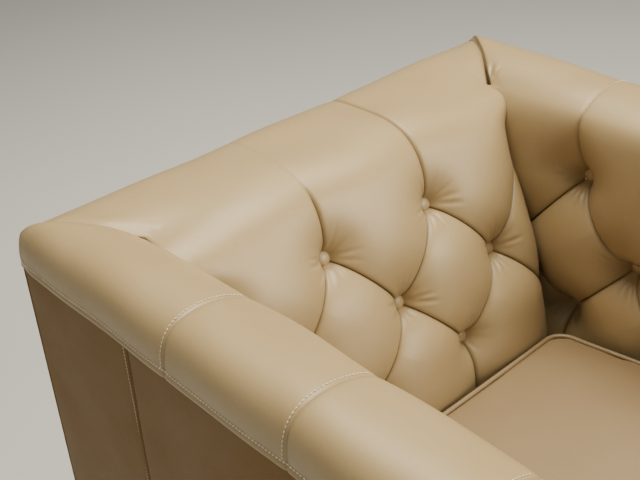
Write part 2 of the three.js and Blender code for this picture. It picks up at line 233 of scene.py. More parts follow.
class TuftedCover:
    """A buttoned cover: a profile run along an axis, pulled in at its buttons and pleats.

    Column numbers count half pitches along the axis, and row numbers count rows of buttons up
    the profile. There is a button wherever both add up to the parity. Diagonal pleats join
    them, and straight pleats run on above the top row and below the bottom one.
    """

    SEAM_STRIP = 0.5  # columns past a mitre, where the leather turns in
    RIM = 7.0  # a pit is flat out to here from its button's middle
    PIT_REACH = 23.0  # how far a pit spreads beyond its rim
    MOAT_REACH = 13.0  # how far round a button the leather turns under
    SLIT_DEPTH = 4.0  # depth of the slit at the bottom of a full pleat
    SLIT_WIDTH = 1.6  # how far a slit or a seam opens to either side
    SEAM_DEPTH = 2.0  # depth of the slit along a seam
    STRIP_RUN = 12.0  # how far past a seam the leather keeps turning down
    STRIP_SLOPE = 1.8  # how steeply it does
    FOLD = 3.2  # how far the upper leather of a diagonal pleat hangs over the lower
    FOLD_REACH = 2.5  # distance from the pleat where it hangs over most

    def __init__(self, profile, rows, half, depth, pleat, seed):
        self.profile = profile
        self.rows = np.array(rows, float)
        self.half = half
        self.depth = depth
        self.pleat = pleat
        self.seed = seed
        self.buttons = self.button_places()
        self.wrinkles = self.button_wrinkles() + self.mitre_wrinkles()

    # What the back and the arms each say about themselves
    parity = 0
    end_columns = ()
    shoulder = (0.0, 0.0)  # where the crown turns down on its inner side
    shoulder_drop = 8.0  # how much lower the inner shoulder is in the corners
    crown_pull = 0.0  # how much deeper a straight pleat is just above its button

    def button_places(self):
        raise NotImplementedError

    def mitre_wrinkles(self):
        return []

    def across(self, column, w):
        raise NotImplementedError

    def seam_gap(self, u, w):
        raise NotImplementedError

    def seam_sink(self, u, w):
        raise NotImplementedError

    def on_shoulder(self, w):
        """1 at the inner shoulder of the crown, falling away up and down the profile."""
        return np.exp(-(((w - self.profile.nearest(self.shoulder)) / 42.0) ** 2))

    def place(self, u, points):
        raise NotImplementedError

    def row_at(self, w):
        """Row number at a length along the profile, running on past both ends."""
        low, middle, top = self.rows
        return np.where(w < middle, (w - low) / (middle - low), 1.0 + (w - middle) / (top - middle))

    def button_spot(self, column, row):
        w = self.rows[row]
        return float(self.across(np.array(float(column)), np.array(w))), w

    def button_wrinkles(self):
        """Short creases that run out from each button, between the pleats."""
        draw = np.random.default_rng(self.seed)
        found = []
        for column, row in self.buttons:
            u, w = self.button_spot(column, row)
            for sector in range(4):
                for turn in (-24.0, 0.0, 24.0):
                    angle = math.radians(90.0 * sector + turn + draw.uniform(-8.0, 8.0))
                    reach = draw.uniform(30.0, 58.0)
                    found.append((u, w, angle, reach, draw.uniform(2.2, 3.4), draw.uniform(1.4, 3.4)))
        return found

    def funnel(self, u, w):
        """1 at a button, falling away over the pit around it."""
        total = np.zeros_like(u)
        for column, row in self.buttons:
            bu, bw = self.button_spot(column, row)
            r = np.hypot(u - bu, w - bw)
            total = np.maximum(total, np.exp(-((np.maximum(r - self.RIM, 0.0) / self.PIT_REACH) ** 1.05)))
        return total

    def moat(self, u, w):
        """1 at a button, falling away close round it, where the leather turns under its rim."""
        spots = [self.button_spot(column, row) for column, row in self.buttons]
        near = np.min([np.hypot(u - bu, w - bw) for bu, bw in spots], axis=0)
        return np.exp(-((near / self.MOAT_REACH) ** 4))

    def straight_pleat(self, u, row):
        """Distance to the nearest straight pleat that leaves a row."""
        places = [self.button_spot(c, r)[0] for c, r in self.buttons if r == row]
        return np.min([np.abs(u - p) for p in places], axis=0)

    def last_points(self, u, row):
        """Distance to the points at both ends of a row, where diagonal pleats meet with no button."""
        places = [self.button_spot(c, row)[0] for c in self.end_columns]
        return np.min([np.abs(u - p) for p in places], axis=0)

    def cells(self, column, w, u):
        """How full the leather is, from 0 in a pleat to 1 on a crown, and the distance to a pleat."""
        row = self.row_at(w)
        up = (column + row - self.parity) / 2.0
        down = (column - row - self.parity) / 2.0
        off_up = up - np.round(up)
        off_down = down - np.round(down)
        full = pillow(2 * np.abs(off_up)) * pillow(2 * np.abs(off_down))
        gap = 1.5 * self.half * np.minimum(np.abs(off_up), np.abs(off_down))
        for beyond, end in ((row - 2.0, 2), (-row, 0)):
            reach = self.straight_pleat(u, end)
            power = 2.0 - smoothstep(beyond)
            closing = 1.0 - smoothstep(beyond / 0.8)
            ends = 1.0 - closing * (1.0 - pillow(self.last_points(u, end) / self.half) ** 2)
            full = np.where(beyond > 0, pillow(reach / self.half) ** power * ends, full)
            gap = np.where(beyond > 0, reach, gap)
        return full, gap, off_up, off_down

    def top_share(self, w):
        return smoothstep((w - self.rows[2]) / 130.0)

    def top_pleat(self, u):
        """Depth of a pleat where it crosses the crown."""
        return 1.5

    def pleat_depth(self, u, w):
        share = self.top_share(w)
        pull = self.crown_pull * smoothstep((w - self.rows[2] + 20.0) / 40.0)
        return (self.pleat + 2.0 + pull) * (1 - share) + self.top_pleat(u) * share

    def end_fade(self, u):
        return np.ones_like(u)

    def hem_depth(self, w):
        return np.zeros_like(w)

    def wrinkle_depth(self, u, w):
        total = np.zeros_like(u)
        for wu, ww, angle, reach, width, deep in self.wrinkles:
            du, dw = u - wu, w - ww
            along = du * math.cos(angle) + dw * math.sin(angle)
            aside = -du * math.sin(angle) + dw * math.cos(angle)
            window = smoothstep((along - 9.0) / 8.0) * smoothstep((reach - along) / (0.6 * reach))
            groove = np.exp(-((aside / width) ** 2))
            ridges = np.exp(-(((np.abs(aside) - 2 * width) / width) ** 2))
            total += deep * window * (groove - 0.35 * ridges)
        return total

    def swell(self, u, w):
        """Slow unevenness of a hand-stuffed cover."""
        k = 0.021
        broad = np.sin(k * u + 1.3 * self.seed) * np.sin(1.3 * k * w + 0.7)
        return 0.9 * broad + 0.5 * np.sin(2.3 * k * w + 1.7 * k * u + self.seed)

    def surface(self, column, w, under=0.0):
        """Points on the cover, and how far each lies in a crease. Under is a depth below it."""
        column, w = np.broadcast_arrays(np.asarray(column, float), np.asarray(w, float))
        u = self.across(column, w)
        full, gap, off_up, off_down = self.cells(column, w, u)
        fade = self.end_fade(u)
        valley = self.pleat_depth(u, w)
        pit = self.funnel(u, w)
        slit = np.exp(-gap / self.SLIT_WIDTH) * np.clip(valley / 4.5, 0.05, 1.0) * self.SLIT_DEPTH
        sink = (valley * (1.0 - full) + slit) * fade
        sink += ((self.depth - valley) * pit * (1.0 - 0.25 * full) + 3.0 * self.moat(u, w)) * fade
        seam = self.seam_gap(u, w)
        sink += self.seam_sink(u, w)
        sink += self.SEAM_DEPTH * np.exp(-np.maximum(seam, 0.0) / self.SLIT_WIDTH)
        sink += np.clip(-seam, 0.0, self.STRIP_RUN) * self.STRIP_SLOPE
        sink += self.wrinkle_depth(u, w) * (0.4 + 0.6 * full)
        sink += self.swell(u, w) + self.hem_depth(w)
        inside = (self.row_at(w) > 0) & (self.row_at(w) < 2)
        width = 1.5 * self.half
        over = [np.maximum(off, 0) * width / self.FOLD_REACH for off in (off_up, -off_down)]
        fold = sum(d * np.exp(1 - d) for d in over)
        fold = np.where(inside, fold, 0.0) * self.FOLD * (1 - 0.6 * pit) * fade * (under == 0.0)
        w_seen = w - fold
        sink = sink + under
        base = self.profile.at(w_seen)
        out = self.profile.normal(w_seen)
        points = self.place(u, base - out * sink[..., None])
        # Masks for painted shade: the hide's colour darkens along pleats and seams (crease) and in button
        # pits (pit).
        crease = np.exp(-gap / 2.2) * np.clip(valley / 4.0, 0.0, 1.0) * fade
        crease = np.maximum(crease, 1.3 * np.exp(-np.abs(seam) / 2.4))
        return points, crease, pit

    def facing(self, column, w):
        """Outward unit normals of the finished surface."""
        d = 0.02
        a = self.surface(column + d, w)[0] - self.surface(column - d, w)[0]
        b = self.surface(column, w + 1.0)[0] - self.surface(column, w - 1.0)[0]
        n = np.cross(a, b)
        n /= np.linalg.norm(n, axis=-1)[..., None]
        return -n if self.turned else n

    def slash(self, column, w):
        """True where a mesh square is split from lower left to upper right, along its pleat."""
        a = np.floor(column + 1e-6)
        b = np.floor(self.row_at(w) + 1e-6)
        return np.mod(a + b - self.parity, 2) < 0.5


class BackCover(TuftedCover):
    """The inside back, from the deck over the top to the rear seam."""

    parity = 1
    end_columns = (-3, 3)
    shoulder = (SEAT_HALF - MITRE_STEP + 10, BACK_TOP - 22)
    turned = False
    LAP = {"left": 10.0, "right": 25.0}  # how far it laps over each arm's inner shoulder
    DRAWN = {"left": 54.0, "right": 92.0}  # how far below the top each corner stops turning in
    MITRE_PULL = {"left": 0.15, "right": 0.4}  # how strongly each mitre is drawn in
    FLANK = 36.0  # how far a flank turns in beside the arm
    FLANK_LOW = 14.0  # how much further it does low down
    FLANK_REACH = 76.0  # how far from the edge it starts to
    RISE = 3.5  # how far the crown rises to meet the arms at the mitres

    def top_pleat(self, u):
        """The sitter's left pleat stays a clear line over the crown, and the right one fades."""
        return 0.5 + 2.7 * smoothstep((u + 40.0) / 80.0)

    def button_places(self):
        return [(-1, 0), (1, 0), (-2, 1), (0, 1), (2, 1), (-1, 2), (1, 2)]

    def mitre_wrinkles(self):
        """A pucker that runs back from the inner corner of each mitre."""
        w = self.profile.nearest((SEAT_HALF - MITRE_STEP + 4, BACK_TOP))
        turns = {-1: math.radians(180 - 74), 1: math.radians(74)}
        return [(side * (SEAT_HALF + 10), w, turn, 30, 3.4, 1.6) for side, turn in turns.items()]

    def by_hand(self, values, on_right):
        return np.where(on_right, values["right"], values["left"])

    def edge(self, w, on_right):
        """Half the width of the cover, out to the mitre, and a little way over the arm's shoulder."""
        y, z = np.moveaxis(self.profile.at(w), -1, 0)
        lap = self.by_hand(self.LAP, on_right)
        face = 3 * self.half + lap * smoothstep((z - BACK_TOP + 70) / 60.0)
        return np.maximum(face, mitre_x(np.minimum(y, OUT_Y - 6)))

    def across(self, column, w):
        size = np.abs(column)
        edge = self.edge(w, column < 0)
        side = self.half + (size - 1) / 2 * (edge - self.half)
        inner = 1.0 - smoothstep((edge - 3 * self.half) / 40.0)
        strip = edge + (size - 3) * (8.0 + 44.0 * inner)
        reach = np.where(size <= 1, size * self.half, np.where(size <= 3, side, strip))
        return np.sign(column) * reach

    def seam_gap(self, u, w):
        return self.edge(w, u < 0) - np.abs(u)

    def seam_sink(self, u, w):
        """The flanks turn in beside the arms low down, and meet them in a mitre on top."""
        seam = self.seam_gap(u, w)
        y, z = np.moveaxis(self.profile.at(w), -1, 0)
        below = self.by_hand(self.DRAWN, u <= 0)
        on_top = np.minimum(smoothstep((z - BACK_TOP + below) / 46.0) + (y > OUT_Y - 30), 1.0)
        lower = smoothstep((BACK_TOP - 110 - z) / 90.0)
        flank = (self.FLANK + self.FLANK_LOW * lower) * (1.0 - pillow(seam / self.FLANK_REACH))
        drop = self.shoulder_drop * smoothstep((np.abs(u) - 130.0) / 180.0) * self.on_shoulder(w)
        pulled = self.by_hand(self.MITRE_PULL, u <= 0) * mitre_sink(y + MITRE_STEP, z, seam)
        crown = smoothstep((y - SEAT_HALF - 10) / 40.0) * (1.0 - smoothstep((y - OUT_Y + 34) / 24.0))
        risen = self.RISE * crown * (1.0 - smoothstep(seam / 70.0))
        return flank * (1 - on_top) + (pulled - risen) * on_top + drop

    def place(self, u, points):
        return np.stack([u, points[..., 0], points[..., 1]], axis=-1)


class ArmCover(TuftedCover):
    """An inside arm, from the deck over the top to the outer seam. Columns count towards the back."""

    parity = 0
    end_columns = (-6,)
    FLANK = 3.0  # how far the cover turns in beside the back
    FLANK_REACH = 34.0  # how far from the back it starts to
    MITRE_PULL = {1: 0.15, -1: 0.4}  # how strongly the mitre is drawn in, by side
    shoulder = (SEAT_HALF + 16, ARM_TOP - 20)
    crown_pull = 16.0
    COLUMN_RANGE = range(-5, 1)

    def __init__(self, profile, rows, half, depth, pleat, seed, side, first_y, lean, back_profile):
        self.side = side
        self.lean = lean
        self.turned = side > 0
        self.first_y = first_y
        self.back_profile = back_profile
        super().__init__(profile, rows, half, depth, pleat, seed)

    def button_places(self):
        return [(c, r) for r in (0, 1, 2) for c in self.COLUMN_RANGE if (c + r) % 2 == 0]

    def edge(self, w):
        """Where the cover ends at the back: the mitre."""
        return mitre_y(self.section_x(w))

    def section_x(self, w):
        return np.clip(self.profile.at(w)[..., 0], SEAT_HALF, OUT_X - 4)

    def corner_line(self, w):
        """Where the arm meets the back: the back's own face low down, and the mitre on top."""
        x, z = np.moveaxis(self.profile.at(w), -1, 0)
        line = self.back_profile.line
        face = line[line[:, 0] < SEAT_HALF - 20]
        y = np.interp(z, face[:, 1], face[:, 0]) + 62.0
        off_face = smoothstep((x - SEAT_HALF - 3) / 34.0)
        return np.where(z < BACK_TOP - 10, y * (1 - off_face) + self.edge(w) * off_face, self.edge(w))

    def cells(self, column, w, u):
        """The pleats stop short of the corner, where the arm lies flat behind the back's flank."""
        full, gap, off_up, off_down = super().cells(column, w, u)
        flat = smoothstep((column - 0.93) / 0.2)
        kept = 1.0 - flat
        return 1.0 - (1.0 - full) * kept, gap + 40.0 * flat, off_up * kept, off_down * kept

    def across(self, column, w):
        top_row = self.rows[2]
        lean = self.lean * np.clip((w - top_row) / (self.profile.length - top_row), 0.0, 1.0)
        upright = self.first_y + column * self.half
        straight = upright + lean * np.clip((upright - FRONT_Y) / 80.0, 0.0, 1.0)
        last = self.first_y + lean + self.half
        edge = self.edge(w)
        strip = last + (column - 1) / 2 * (edge - last)
        inner = 1.0 - smoothstep((self.section_x(w) - SEAT_HALF - 3) / 34.0)
        past = edge + (column - 3) * (8.0 + 90.0 * inner)
        return np.where(column <= 1, straight, np.where(column <= 3, strip, past))

    def seam_gap(self, u, w):
        return self.corner_line(w) - u

    def seam_sink(self, u, w):
        """Nearly flat beside the back low down, and drawn into the mitre on top."""
        seam = self.seam_gap(u, w)
        x, z = np.moveaxis(self.profile.at(w), -1, 0)
        on_top = smoothstep((x - SEAT_HALF - 2) / 12.0)
        flank = self.FLANK * (1.0 - pillow(seam / self.FLANK_REACH))
        drop = self.shoulder_drop * smoothstep((u + 30.0) / 300.0) * self.on_shoulder(w)
        pulled = self.MITRE_PULL[self.side] * mitre_sink(x, z, seam)
        return flank * (1 - on_top) + pulled * on_top + drop

    def end_fade(self, u):
        return smoothstep((u - FRONT_Y) / 30.0)

    def hem_depth(self, w):
        """The top-stitch line draws in, and the folded edge under it rolls out and back in."""
        left = self.profile.length - w
        line = 0.8 * np.exp(-(((left - STITCH_LIFT) / 1.6) ** 2))
        roll = -1.6 * np.exp(-(((left - 4.4) / 3.4) ** 2))
        tuck = 4.0 * smoothstep((1.6 - left) / 1.6)
        return line + roll + tuck

    def mitre_wrinkles(self):
        w = self.profile.nearest((SEAT_HALF + 12, ARM_TOP - 10))
        u = SEAT_HALF - MITRE_STEP + 6
        rays = ((66, 46, 4.0, 2.4), (92, 34, 3.6, 1.5))
        return [(u, w, math.radians(a), reach, width, deep) for a, reach, width, deep in rays]

    def place(self, u, points):
        bulge = np.maximum(points[..., 0] - (OUT_X + 1), 0.0)
        kept = smoothstep((OUT_Y - 4 - u) / 30.0)
        x = points[..., 0] - bulge * (1 - kept)
        return np.stack([self.side * x, u, points[..., 1]], axis=-1)


# ---- Meshes ----
def added(name, data):
    """A new object in the scene for its data."""
    made = bpy.data.objects.new(name, data)
    bpy.context.scene.collection.objects.link(made)
    return made


def mesh_object(name, points, faces, smooth=True):
    """A mesh object at the origin from points in millimetres."""
    mesh = bpy.data.meshes.new(name)
    mesh.from_pydata((np.asarray(points) * MM).tolist(), [], [tuple(f) for f in faces])
    mesh.polygons.foreach_set("use_smooth", [smooth] * len(mesh.polygons))
    mesh.update()
    return added(name, mesh)


def evaluated(piece):
    """A new mesh of a piece as its modifiers leave it."""
    graph = bpy.context.evaluated_depsgraph_get()
    return bpy.data.meshes.new_from_object(piece.evaluated_get(graph))


def grid_faces(rows, columns, start, slash=None, flip=False):
    """Triangles of a grid of points numbered row by row, split one way or the other."""
    i, j = np.meshgrid(np.arange(rows - 1), np.arange(columns - 1), indexing="ij")
    a = (start + i * columns + j).ravel()
    b, c, d = a + 1, a + columns + 1, a + columns
    one_way = np.ones(len(a), bool) if slash is None else slash[:-1, :-1].ravel()
    first = np.where(one_way[:, None], np.stack([a, b, c], 1), np.stack([a, b, d], 1))
    second = np.where(one_way[:, None], np.stack([a, c, d], 1), np.stack([b, c, d], 1))
    faces = np.vstack([first, second])
    return faces[:, ::-1] if flip else faces


def rim(rows, columns, step=1):
    """Point numbers round the edge of a grid, every step-th one."""
    number = np.arange(rows * columns).reshape(rows, columns)
    lower, right = number[0, :-1:step], number[:-1:step, -1]
    upper, left = number[-1, :0:-step], number[:0:-step, 0]
    return np.concatenate([lower, right, upper, left])


def shell_faces(rows, columns, step, slash, flip):
    """Faces of a closed shell: a fine front, a coarse back with every step-th point, and walls."""
    front = grid_faces(rows, columns, 0, slash, flip)
    back_rows, back_columns = (rows - 1) // step + 1, (columns - 1) // step + 1
    start = rows * columns
    coarse = None if slash is None else slash[::step, ::step]
    back = grid_faces(back_rows, back_columns, start, coarse, not flip)
    outer = rim(rows, columns)
    inner = rim(back_rows, back_columns) + start
    walls = []
    for k in range(len(inner)):
        here, there = inner[k], inner[(k + 1) % len(inner)]
        fine = [outer[(k * step + m) % len(outer)] for m in range(step + 1)]
        half = step // 2
        for m in range(step):
            apex = here if m < half else there
            walls.append((fine[m + 1], fine[m], apex))
        walls.append((fine[half], here, there))
    walls = np.array(walls)
    return np.vstack([front, back, walls[:, ::-1] if flip else walls])


def shell_piece(name, front, back, slash=None, flip=False, step=4):
    """A closed shell between a fine front and a back that keeps every step-th point."""
    faces = shell_faces(*front.shape[:2], step, slash, flip)
    return mesh_object(name, np.vstack([front.reshape(-1, 3), back.reshape(-1, 3)]), faces)


def stacked_faces(layers, count):
    """Faces of a closed body: outlines numbered layer by layer, then its foot and its tip."""
    faces = []
    for layer in range(layers - 1):
        for k in range(count):
            a, b = layer * count + k, layer * count + (k + 1) % count
            faces.append((a, b, b + count, a + count))
    last, foot, tip = (layers - 1) * count, layers * count, layers * count + 1
    for k in range(count):
        after = (k + 1) % count
        faces += [(after, k, foot), (last + k, last + after, tip)]
    return faces


def point_values(piece, name, values):
    attribute = piece.data.attributes.new(name, "FLOAT", "POINT")
    padded = np.zeros(len(piece.data.vertices), np.float32)
    padded[: len(values)] = values
    attribute.data.foreach_set("value", padded)


def mark_sharp(piece, flagged):
    """Sharp edges between flagged points, so that a crease stays crisp."""
    mesh = piece.data
    ends = np.zeros(len(mesh.edges) * 2, np.int32)
    mesh.edges.foreach_get("vertices", ends)
    ends = ends.reshape(-1, 2)
    wide = np.zeros(len(mesh.vertices), bool)
    wide[: len(flagged)] = flagged
    sharp = wide[ends[:, 0]] & wide[ends[:, 1]]
    attribute = mesh.attributes.new("sharp_edge", "BOOLEAN", "EDGE")
    attribute.data.foreach_set("value", sharp)


def finished(piece, body, slot, *replaced):
    """Gives a piece its body and the material of its record slot, and hides the CAD nodes it replaces."""
    piece.data.materials.clear()
    piece.data.materials.append(material_for(slot))
    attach(piece, body)
    if replaced:
        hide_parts(*replaced)
    return piece


def cover_piece(name, cover, columns, lengths, step=4, thick=4.0):
    """A tufted cover as a closed shell of leather and wadding."""
    column, w = np.meshgrid(columns, lengths)
    points, crease, pit = cover.surface(column, w)
    inner = cover.surface(column[::step, ::step], w[::step, ::step], under=thick)[0]
    piece = shell_piece(name, points, inner, cover.slash(column, w), cover.turned, step)
    # Both masks darken the hide's colour as painted shade.
    point_values(piece, "crease", crease.ravel())
    point_values(piece, "pit", pit.ravel())
    full, gap = cover.cells(column, w, cover.across(column, w))[:2]
    mark_sharp(piece, ((gap < 0.05) & (crease > 0.3)).ravel())
    return piece


HEM = 16.0  # height of the sewn hem along an arm's outer seam


def even(low, high, count):
    return np.linspace(low, high, count + 1)


def joined(*parts):
    """One list of places from several that share their ends."""
    return np.concatenate([p if k == 0 else p[1:] for k, p in enumerate(parts)])


# ---- The covers of this chair ----
def back_profile():
    """Section of the back's crown as (y, z), from the deck up and over to the rear seam."""
    face, top, rear = BACK_LOW[1], BACK_TOP + 3, OUT_Y
    return Profile(
        [
            (face + 6, DECK_Z),
            (face - 2, DECK_Z + 120),
            (face + 4, 490),
            (face + 41, 590),
            (face + 80, 690),
            (face + 107, 741),
            (face + 137, 780),
            (face + 184, top - 1),
            (rear - 60, top + 1),
            (rear - 18, top - 1),
            (rear + 5, top - 14),
            (rear + 3, SEAM_Z + 14),
            (rear, SEAM_Z),
        ]
    )


def arm_profile():
    """Section of an arm's crown as (x, z), from the deck up and over to the outer seam."""
    inner, top, outer = SEAT_HALF, ARM_TOP, OUT_X
    return Profile(
        [
            (inner + 2, DECK_Z),
            (inner - 4, DECK_Z + 200),
            (inner - 4, top - 150),
            (inner - 2, top - 68),
            (inner + 5, top - 28),
            (inner + 26, top - 9),
            (inner + 60, top + 3),
            (outer - 44, top + 7),
            (outer - 19, top + 1),
            (outer - 4, top - 13),
            (outer + 3, top - 34),
            (outer + 3, SEAM_Z - 9),
        ]
    )


BACK_BUTTON_Z = (475.0, 580.0, 686.0)
ARM_BUTTON_Z = (435.0, 548.0, 671.0)
ARM_FIRST_Y = {"left": 112.0, "right": 100.0}  # hand-tied rows never sit quite alike
ARM_LEAN = {"left": -13.0, "right": 0.0}  # how far the top pleats run to the front as they cross


def back_cover():
    tuft = bpy.context.scene.tuft
    profile = back_profile()
    lean = 0.396  # the buttoned plane runs back by this much for each step up
    foot = BACK_LOW[1] - 48.0
    rows = [profile.nearest((foot + lean * (z - 350.0), z + 16.0)) for z in BACK_BUTTON_Z]
    return BackCover(profile, rows, tuft.pitch / 2, tuft.back_depth, tuft.pleat_depth, seed=4)


def arm_cover(hand):
    tuft = bpy.context.scene.tuft
    profile = arm_profile()
    rows = [profile.nearest((SEAT_HALF, z)) for z in ARM_BUTTON_Z]
    return ArmCover(
        profile,
        rows,
        tuft.pitch / 2,
        tuft.arm_depth,
        tuft.pleat_depth,
        seed=11 if hand == "left" else 17,
        side=SIDES[hand],
        first_y=ARM_FIRST_Y[hand],
        lean=ARM_LEAN[hand],
        back_profile=back_profile(),
    )


def cover_lengths(cover, fine, below, above, hem=0):
    """Places up the profile, so that a diagonal pleat runs through corners of the mesh."""
    low, middle, top = cover.rows
    end = cover.profile.length
    last = even(end - HEM, end, hem) if hem else []
    stop = end - HEM if hem else end
    ends, counts = (0.0, low, middle, top, stop), (below, fine, fine, above)
    parts = [even(*run) for run in zip(ends, ends[1:], counts)]
    return joined(*parts, *([last] if hem else []))


def back_columns(fine):
    strip = joined(even(2.9, 3.0, 16), even(3.0, 3.0 + TuftedCover.SEAM_STRIP, 8))
    return joined(-strip[::-1], even(-2.9, 2.9, 4 * round(1.45 * fine)), strip)


def arm_columns(cover, fine):
    """Columns from the front edge to past the mitre."""
    front = (FRONT_Y - cover.first_y) / cover.half
    whole = math.ceil(front)
    short = max(4, 4 * round(fine * (whole - front) / 4))
    strip = joined(even(1.0, 2.8, 48), even(2.8, 3.0, 24), even(3.0, 3.0 + TuftedCover.SEAM_STRIP, 8))
    return joined(even(front, whole, short), even(whole, 1.0, (1 - whole) * fine), strip)


# ---- Shader groups ----
def shader_group(name, inputs, outputs):
    tree = bpy.data.node_groups.new(name, "ShaderNodeTree")
    for socket, kind, value in inputs:
        made = tree.interface.new_socket(socket, in_out="INPUT", socket_type=kind)
        made.default_value = value
    for socket, kind in outputs:
        tree.interface.new_socket(socket, in_out="OUTPUT", socket_type=kind)
    start = tree.nodes.new("NodeGroupInput")
    end = tree.nodes.new("NodeGroupOutput")
    return tree, start, end


class Wiring:
    """Adds nodes to a tree and joins their sockets."""

    def __init__(self, tree):
        self.tree = tree

    def node(self, kind, settings=None, **links):
        """A node with its settings, and its inputs fed by name."""
        made = self.tree.nodes.new(kind)
        for key, value in (settings or {}).items():
            setattr(made, key, value)
        for key, value in links.items():
            self.feed(made.inputs[key.replace("_", " ")], value)
        return made

    def feed(self, socket, value):
        if isinstance(value, bpy.types.NodeSocket):
            self.tree.links.new(value, socket)
        else:
            socket.default_value = value

    def math(self, operation, a, b=0.0, clamp=False):
        made = self.tree.nodes.new("ShaderNodeMath")
        made.operation = operation
        made.use_clamp = clamp
        self.feed(made.inputs[0], a)
        self.feed(made.inputs[1], b)
        return made.outputs[0]

    def plus(self, a, b, clamp=False):
        return self.math("ADD", a, b, clamp)

    def times(self, a, b, clamp=False):
        return self.math("MULTIPLY", a, b, clamp)

    def blend(self, share, a, b):
        """A colour between a and b."""
        made = self.tree.nodes.new("ShaderNodeMix")
        made.data_type = "RGBA"
        self.feed(made.inputs["Factor"], share)
        self.feed(made.inputs["A"], a)
        self.feed(made.inputs["B"], b)
        return made.outputs["Result"]

    def spread(self, value, low, high, to_low, to_high):
        """A value stretched from one range to another."""
        made = self.tree.nodes.new("ShaderNodeMapRange")
        sockets = ("Value", "From Min", "From Max", "To Min", "To Max")
        for key, item in zip(sockets, (value, low, high, to_low, to_high)):
            self.feed(made.inputs[key], item)
        return made.outputs["Result"]

    def tinted(self, colour, saturation, value):
        made = self.node("ShaderNodeHueSaturation", Saturation=saturation, Value=value, Color=colour)
        return made.outputs[0]

    def place(self):
        return self.node("ShaderNodeTexCoord").outputs["Object"]

    def noise(self, scale, detail, place=None, **values):
        """The grey of a noise texture, by the piece's own space unless a place is given."""
        vector = self.place() if place is None else place
        made = self.node("ShaderNodeTexNoise", Vector=vector, Scale=scale, Detail=detail, **values)
        return made.outputs["Fac"]

    def split(self, vector):
        made = self.node("ShaderNodeSeparateXYZ")
        self.feed(made.inputs[0], vector)
        return made.outputs

    def joined(self, *values):
        made = self.node("ShaderNodeCombineXYZ")
        for socket, value in zip(made.inputs, values):
            self.feed(socket, value)
        return made.outputs[0]


def hide_grain_group():
    """Pebbled grain with fine stretch lines, as a height."""
    tree, start, end = shader_group(
        "Hide Grain",
        [("Scale", "NodeSocketFloat", 900.0), ("Pores", "NodeSocketFloat", 0.35)],
        [("Height", "NodeSocketFloat")],
    )
    wire = Wiring(tree)
    place = wire.place()
    warp = wire.node("ShaderNodeTexNoise", Vector=place, Scale=160.0, Detail=2.0)
    shifted = wire.node("ShaderNodeVectorMath", {"operation": "MULTIPLY_ADD"})
    wire.feed(shifted.inputs[0], warp.outputs["Color"])
    wire.feed(shifted.inputs[1], (0.0012, 0.0012, 0.0012))
    wire.feed(shifted.inputs[2], place)
    cells = wire.node(
        "ShaderNodeTexVoronoi",
        {"feature": "DISTANCE_TO_EDGE"},
        Vector=shifted.outputs[0],
        Scale=start.outputs["Scale"],
    )
    pebble = wire.math("POWER", wire.times(cells.outputs["Distance"], 2.0, clamp=True), 0.5)
    pores = wire.times(wire.noise(2600.0, 3.0), start.outputs["Pores"])
    wire.feed(end.inputs["Height"], wire.plus(pebble, pores))
    return tree


def hide_colour_group():
    """Cloudy dye, paler where it is rubbed, with painted shade along the crease and pit masks."""
    tree, start, end = shader_group(
        "Hide Colour",
        [
            ("Hide", "NodeSocketColor", (0.5, 0.4, 0.3, 1.0)),
            ("Crease", "NodeSocketFloat", 0.0),
            ("Pit", "NodeSocketFloat", 0.0),
            ("Rub", "NodeSocketFloat", 0.25),
        ],
        [("Colour", "NodeSocketColor"), ("Mottle", "NodeSocketFloat")],
    )
    wire = Wiring(tree)
    hide = start.outputs["Hide"]
    cloud = wire.noise(7.0, 5.0, Roughness=0.6)
    speck = wire.noise(240.0, 2.0)
    mottle = wire.plus(wire.times(cloud, 0.75), wire.times(speck, 0.25))
    dark = wire.tinted(hide, 1.04, 0.955)
    pale = wire.tinted(hide, 0.97, 1.035)
    base = wire.blend(wire.spread(mottle, 0.35, 0.65, 0.0, 1.0), dark, pale)
    pointed = wire.node("ShaderNodeNewGeometry").outputs["Pointiness"]
    edge = wire.times(wire.spread(pointed, 0.52, 0.60, 0.0, 1.0), start.outputs["Rub"])
    worn = wire.blend(edge, base, wire.tinted(hide, 0.92, 1.08))
    # Painted shade: the crease and pit masks pull the dye towards a deep brown in pleats, seams and button
    # pits.
    crease_shade = wire.times(start.outputs["Crease"], 0.75)
    painted_shade = wire.plus(crease_shade, wire.times(start.outputs["Pit"], 0.18), clamp=True)
    wire.feed(end.inputs["Colour"], wire.blend(painted_shade, worn, wire.tinted(hide, 1.25, 0.36)))
    wire.feed(end.inputs["Mottle"], mottle)
    return tree


def wood_grain_group():
    """Long figure of a timber, as a mask and a height."""
    tree, start, end = shader_group(
        "Wood Grain",
        [("Stretch", "NodeSocketFloat", 12.0), ("Scale", "NodeSocketFloat", 60.0)],
        [("Figure", "NodeSocketFloat"), ("Height", "NodeSocketFloat")],
    )
    wire = Wiring(tree)
    x, y, z = wire.split(wire.place())
    squeezed = wire.joined(x, y, wire.math("DIVIDE", z, start.outputs["Stretch"]))
    rings = wire.node(
        "ShaderNodeTexWave",
        {"wave_type": "RINGS"},
        Vector=squeezed,
        Scale=start.outputs["Scale"],
        Distortion=6.0,
        Detail=3.0,
    )
    fibre = wire.noise(700.0, 4.0, squeezed)
    figure = wire.plus(wire.times(rings.outputs["Fac"], 0.6), wire.times(fibre, 0.4))
    wire.feed(end.inputs["Figure"], figure)
    wire.feed(end.inputs["Height"], fibre)
    return tree


